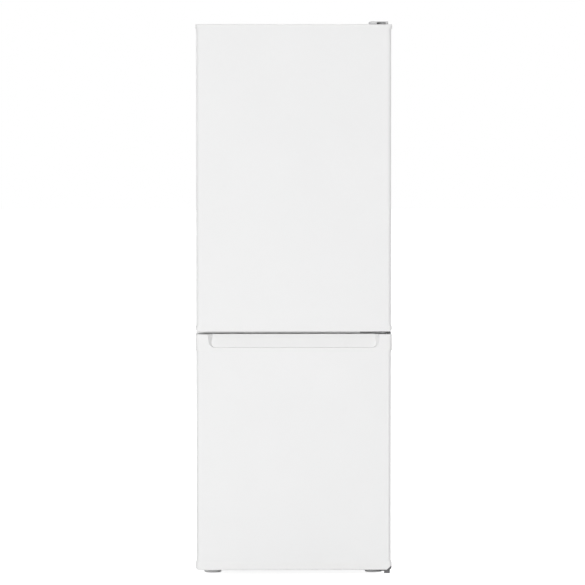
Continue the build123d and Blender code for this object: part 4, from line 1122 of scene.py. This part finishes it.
@dataclass(frozen=True)
class Hinges(SubAssembly):
    """Three hinges with their cover, screws and bushes.

    Attributes:
        edge: Rounding of the stamped edges.
        screw: Head of a hinge screw.
        front_screws: Places of the screws in the middle and lower flanges, across and up.
        top_screws: Places of the screws in the upper foot, across and back.
        flange_front: Depth of the flanges' front faces.
        foot_top: Height of the upper foot's top face.
        axis: Place of the hinge axis, across and back.
        bushes: Low and high end of each bush on the middle hinge's pin.
        bush_radii: Inner radius, radius of the ends and outer radius of a bush.
        bush_levels: Shares of a bush's height where its upright wall begins and ends.
    """

    edge: EdgeBreak = EdgeBreak(0.0005)
    screw: HexScrew = HexScrew(0.0045, 0.0022)
    front_screws: Outline = (
        (0.193, 0.65925), (0.221, 0.65925), (0.193, 0.67775), (0.221, 0.67775), (0.193, 0.047),
        (0.207, 0.047), (0.221, 0.047),
    )
    top_screws: Outline = ((0.2225, -0.1785), (0.2465, -0.1785), (0.2345, -0.2095))
    flange_front: float = -0.2285
    foot_top: float = 1.511
    axis: Span = (0.2455, -0.2625)
    bushes: tuple[Span, ...] = ((0.6652, 0.6669), (0.6701, 0.6718))
    bush_radii: Point = (0.0046, 0.0084, 0.0090)
    bush_levels: Span = (0.25, 0.75)

    def dress(self) -> None:
        """Give the hinges their finishes, the upper and middle ones painted lighter against the shade they
        sit in.
        """
        # The upper and middle hinges get their dark coating painted lighter, as painted light in their
        # shade.
        coat(("top_hinge",), Finishes.upper_hinge_painted_light, self.edge)
        coat(("mid_hinge",), Finishes.middle_hinge_painted_light, self.edge)
        coat(("bottom_hinge",), Finishes.hinge, self.edge)
        coat(("hinge_screws",), Finishes.screw)
        coat(("top_hinge_cover",), Finishes.hinge_cover, self.edge)

    def build(self) -> None:
        """Make the screw heads and the bushes."""
        shape = bmesh.new()
        for x, z in self.front_screws:
            self.screw.add(shape, Axle.FORWARD, (x, self.flange_front, z))
        for x, y in self.top_screws:
            self.screw.add(shape, Axle.UP, (x, y, self.foot_top))
        make_piece("hinge_screw_heads", shape, Finishes.screw, "cabinet", "hinge_screws")
        inner, end, outer = self.bush_radii
        shape = bmesh.new()
        for low, high in self.bushes:
            tall = high - low
            wall = [(outer, share * tall) for share in self.bush_levels]
            outline = [(inner, 0.0), (end, 0.0), *wall, (end, tall), (inner, tall), (inner, 0.0)]
            turned(shape, outline, 40, Axle.UP, (*self.axis, low))
        make_piece("mid_hinge_bushes", shape, Finishes.dark, "cabinet")


class CoolingCircuit(SubAssembly):
    """Condenser, compressor, pipework and pan at the back."""

    def dress(self) -> None:
        """Give the circuit's nodes their finishes."""
        coat(("condenser_tube", "condenser_wires", "compressor"), Finishes.enamel)
        coat(("condenser_brackets", "relay_cover", "evaporation_pan", "drain_tube"), Finishes.dark)
        coat(("compressor_mounts",), Finishes.black_rubber)
        coat(("refrigerant_pipes",), Finishes.copper)


@dataclass(frozen=True)
class Footing(SubAssembly):
    """Feet, rollers and the spacers towards the wall.

    Attributes:
        pad_radius: Radius of a foot's pad under its knurls.
        pad_outline: Radius and height along the pad's outline.
        knurl: Height of the knurls.
        thread: Outer radius, root radius and pitch of a foot's thread.
        roller_outline: Radius and distance from the middle along half of a roller's outline.
        spokes: Ribs between a roller's hub and tread, on each face.
        spoke_reach: Radii where a spoke begins and ends.
        spoke_half: Half a spoke's width.
        spoke_depth: Distances from the roller's middle between which a spoke lies.
        spoke_rounding: Radius of a spoke's edges.
    """

    pad_radius: float = 0.0236
    pad_outline: Outline = (
        (0.0, 0.0), (0.0212, 0.0), (0.0230, 0.0006), (pad_radius, 0.0016), (pad_radius, 0.0052),
        (0.0230, 0.0062), (0.0206, 0.0088), (0.0088, 0.0090), (0.0078, 0.0104),
    )
    knurl: float = 0.0004
    thread: Point = (0.0049, 0.0041, 0.0016)
    roller_outline: Outline = (
        (0.0044, 0.0110), (0.0076, 0.0110), (0.0084, 0.0102), (0.0084, 0.0084), (0.0150, 0.0084),
        (0.0162, 0.0098), (0.0184, 0.0110), (0.0200, 0.0094), (0.0200, 0.0044), (0.0192, 0.0037),
        (0.0192, 0.0025), (0.0200, 0.0018),
    )
    spokes: int = 6
    spoke_reach: Span = (0.0080, 0.0158)
    spoke_half: float = 0.0008
    spoke_depth: Span = (0.0080, 0.0100)
    spoke_rounding: float = 0.0003

    def dress(self) -> None:
        """Give the footing's nodes their finishes."""
        coat(("left_foot", "right_foot"), Finishes.foot)
        coat(("left_roller", "right_roller", "wall_spacers"), Finishes.dark)

    def build(self) -> None:
        """Make the feet and the rollers."""
        for hand in Hand:
            self.foot(hand.name.lower())
            self.roller(hand.name.lower())

    def foot(self, side: str) -> None:
        """Make a levelling foot with a knurled pad and a threaded stem, in place of the plain one.

        Args:
            side: Side of the appliance, as the nodes have it.
        """
        low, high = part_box(f"{side}_foot")
        crest, root, pitch = self.thread
        outline = list(self.pad_outline)
        start = outline[-1][1]
        for turn in range(int((high.z - start) / pitch)):
            outline += [(root, start + turn * pitch), (crest, start + (turn + 0.5) * pitch)]
        outline += [(root, high.z), (0.0, high.z)]
        shape = bmesh.new()
        turned(shape, outline, 48, Axle.UP, Vector())
        serrate(shape, self.pad_radius, self.knurl)
        bmesh.ops.translate(shape, vec=((low + high) / 2.0).xy.to_3d(), verts=shape.verts)
        body = f"{side}_levelling_foot"
        make_piece(f"{side}_foot_threaded", shape, Finishes.foot, body, f"{side}_foot")

    def roller(self, side: str) -> None:
        """Make a grooved roller with a spoked web, in place of the plain one.

        Args:
            side: Side of the appliance, as the nodes have it.
        """
        low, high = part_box(f"{side}_roller")
        half = [(radius, -offset) for radius, offset in self.roller_outline]
        outline = half + [(radius, -offset) for radius, offset in reversed(half)] + half[:1]
        shape = bmesh.new()
        turned(shape, outline, 56, Axle.UP, Vector())
        begin, end = self.spoke_reach
        for spoke in range(self.spokes):
            turn = Matrix.Rotation(math.tau * spoke / self.spokes, 3, "Z")
            for hand in Hand:
                near, far = sorted(hand.value * depth for depth in self.spoke_depth)
                start, stop = (begin, -self.spoke_half, near), (end, self.spoke_half, far)
                verts = block(shape, start, stop, self.spoke_rounding, 2)
                bmesh.ops.rotate(shape, verts=verts, matrix=turn)
        stand(shape, Axle.ACROSS, (low + high) / 2.0)
        name, body = f"{side}_roller_grooved", f"{side}_wheel"
        make_piece(name, shape, Finishes.dark, body, f"{side}_roller")


@dataclass(frozen=True)
class Softbox:
    """One soft area light.

    Attributes:
        name: Name of the light.
        place: Where it stands.
        aim: Point that it faces.
        size: Width and height.
        power: Power in watts.
    """

    name: str
    place: Point
    aim: Point
    size: Span
    power: float

    def build(self) -> None:
        """Make the light."""
        data = bpy.data.lights.new(self.name, "AREA")
        data.shape = "RECTANGLE"
        data.size, data.size_y = self.size
        data.energy = self.power
        light = bpy.data.objects.new(self.name, data)
        light.location = self.place
        light.visible_camera = False
        light.rotation_euler = (Vector(self.aim) - Vector(self.place)).to_track_quat("-Z", "Y").to_euler()
        bpy.context.scene.collection.objects.link(light)


@dataclass(frozen=True)
class Studio:
    """Floor, soft light and the camera at the photograph's angle.

    Attributes:
        camera_place: Where the camera stands.
        camera_turn: Turn to the right and tilt downwards, in degrees.
        lens: Focal length in millimetres.
        sensor: Width of the camera's sensor in millimetres.
        far_clip: How far the camera sees.
        floor_half: Half the floor's width.
        floor_colour: Colour of the floor.
        floor_glow: Light that the camera sees from the floor on top of what falls on it.
        sky_light: Light from ahead and behind, and from the sides.
        side_fall: Shares of sideways direction between which the sky's light falls off.
        top_light: Light that comes from overhead on top of it.
        top_rise: Shares of upward direction between which the overhead light comes in.
        softboxes: The soft area lights.
    """

    camera_place: Point = (-0.26, -12.0, 1.3)
    camera_turn: Span = (1.2537, 2.5420)
    lens: float = 262.6
    sensor: float = 36.0
    far_clip: float = 200.0
    floor_half: float = 40.0
    floor_colour: Colour = (0.64, 0.64, 0.64)
    floor_glow: float = 0.92
    sky_light: Span = (0.560, 0.170)
    side_fall: Span = (0.35, 0.95)
    top_light: float = 0.12
    top_rise: Span = (0.45, 0.95)
    softboxes: tuple[Softbox, ...] = (
        Softbox("key_softbox", (-3.2, -13.0, 4.8), (0.0, -0.29, 0.8), (3.0, 3.0), 295.0),
        Softbox("front_softbox", (-0.8, -13.0, 0.45), (0.0, -0.29, 0.7), (1.2, 0.8), 596.0),
        Softbox("near_left_softbox", (-1.5, -2.6, 0.5), (0.0, -0.29, 0.7), (1.0, 1.0), 4.6),
        Softbox("left_rear_softbox", (-5.0, 3.9, 3.4), (0.0, 0.0, 0.8), (3.5, 3.5), 185.0),
        Softbox("right_rear_softbox", (5.0, 3.9, 3.4), (0.0, 0.0, 0.8), (3.5, 3.5), 185.0),
    )

    def build(self) -> None:
        """Make the floor, the light and the camera."""
        self.floor()
        self.sky()
        for softbox in self.softboxes:
            softbox.build()
        self.camera()
        view = bpy.context.scene.view_settings
        view.view_transform = "Standard"
        view.look = "None"

    def floor(self) -> None:
        """Make the plain pale floor, which shows white like a light table but throws little light up."""
        shape = bmesh.new()
        bmesh.ops.create_grid(shape, x_segments=4, y_segments=4, size=self.floor_half)
        mesh = bpy.data.meshes.new("studio_floor")
        shape.to_mesh(mesh)
        shape.free()
        shader = Shader("pale_floor")
        shader.set(Base_Color=self.floor_colour, Roughness=0.9, Specular_IOR_Level=0.0, Emission_Color=WHITE)
        seen = shader.nodes.new("ShaderNodeLightPath").outputs["Is Camera Ray"]
        shader.feed(shader.spread(seen, (0.0, 1.0), (0.0, self.floor_glow)), "Emission Strength")
        mesh.materials.append(shader.material)
        floor = bpy.data.objects.new("studio_floor", mesh)
        bpy.context.scene.collection.objects.link(floor)

    def sky(self) -> None:
        """Make the surrounding light: a white backdrop with soft light, dimmer from the sides."""
        world = bpy.data.worlds.new("studio_light")
        bpy.context.scene.world = world
        world.use_nodes = True
        nodes, links = world.node_tree.nodes, world.node_tree.links
        output = next(node for node in nodes if node.type == "OUTPUT_WORLD")
        soft = next(node for node in nodes if node.type == "BACKGROUND")
        backdrop = nodes.new("ShaderNodeBackground")
        direction = nodes.new("ShaderNodeSeparateXYZ")
        links.new(nodes.new("ShaderNodeTexCoord").outputs["Generated"], direction.inputs["Vector"])
        sideways = nodes.new("ShaderNodeMath")
        sideways.operation = "ABSOLUTE"
        links.new(direction.outputs["X"], sideways.inputs[0])
        total = nodes.new("ShaderNodeMath")
        shares = (
            (sideways.outputs["Value"], self.side_fall, self.sky_light),
            (direction.outputs["Z"], self.top_rise, (0.0, self.top_light)),
        )
        for summand, (value, source, target) in zip(total.inputs, shares):
            ramp = nodes.new("ShaderNodeMapRange")
            ramp.interpolation_type = "SMOOTHSTEP"
            ramp.inputs["From Min"].default_value, ramp.inputs["From Max"].default_value = source
            ramp.inputs["To Min"].default_value, ramp.inputs["To Max"].default_value = target
            links.new(value, ramp.inputs["Value"])
            links.new(ramp.outputs["Result"], summand)
        links.new(total.outputs["Value"], soft.inputs["Strength"])
        mix = nodes.new("ShaderNodeMixShader")
        links.new(nodes.new("ShaderNodeLightPath").outputs["Is Camera Ray"], mix.inputs["Fac"])
        for background, entry in ((soft, mix.inputs[1]), (backdrop, mix.inputs[2])):
            background.inputs["Color"].default_value = (*WHITE, 1.0)
            links.new(background.outputs["Background"], entry)
        links.new(mix.outputs["Shader"], output.inputs["Surface"])

    def camera(self) -> None:
        """Make the camera."""
        data = bpy.data.cameras.new("photo_camera")
        data.lens = self.lens
        data.sensor_width = self.sensor
        data.clip_end = self.far_clip
        camera = bpy.data.objects.new("photo_camera", data)
        camera.location = self.camera_place
        turn, tilt = (math.radians(angle) for angle in self.camera_turn)
        camera.rotation_euler = (math.pi / 2.0 - tilt, 0.0, -turn)
        bpy.context.scene.collection.objects.link(camera)
        bpy.context.scene.camera = camera


def main() -> None:
    """Load the frame, build every sub-assembly in order and set up the studio."""
    logging.basicConfig(level=logging.INFO, format="%(message)s")
    for default in list(bpy.data.objects):
        bpy.data.objects.remove(default)
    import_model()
    parts = (
        Cabinet(),
        Door("fridge_door", ("fridge_door_top_cap", "fridge_door_bottom_cap")),
        Door("freezer_door", ("freezer_door_grip_cap", "freezer_door_bottom_cap")),
        HingeCorner(),
        FridgeInterior(),
        DoorBin("upper_bin", "upper_door_bin"),
        DoorBin("middle_bin", "middle_door_bin"),
        DoorBin("bottle_bin", "bottle_door_bin"),
        FreezerInterior(),
        Hinges(),
        CoolingCircuit(),
        Footing(),
    )
    for part in parts:
        part.dress()
        part.build()
    Studio().build()


if __name__ == "__main__":
    main()
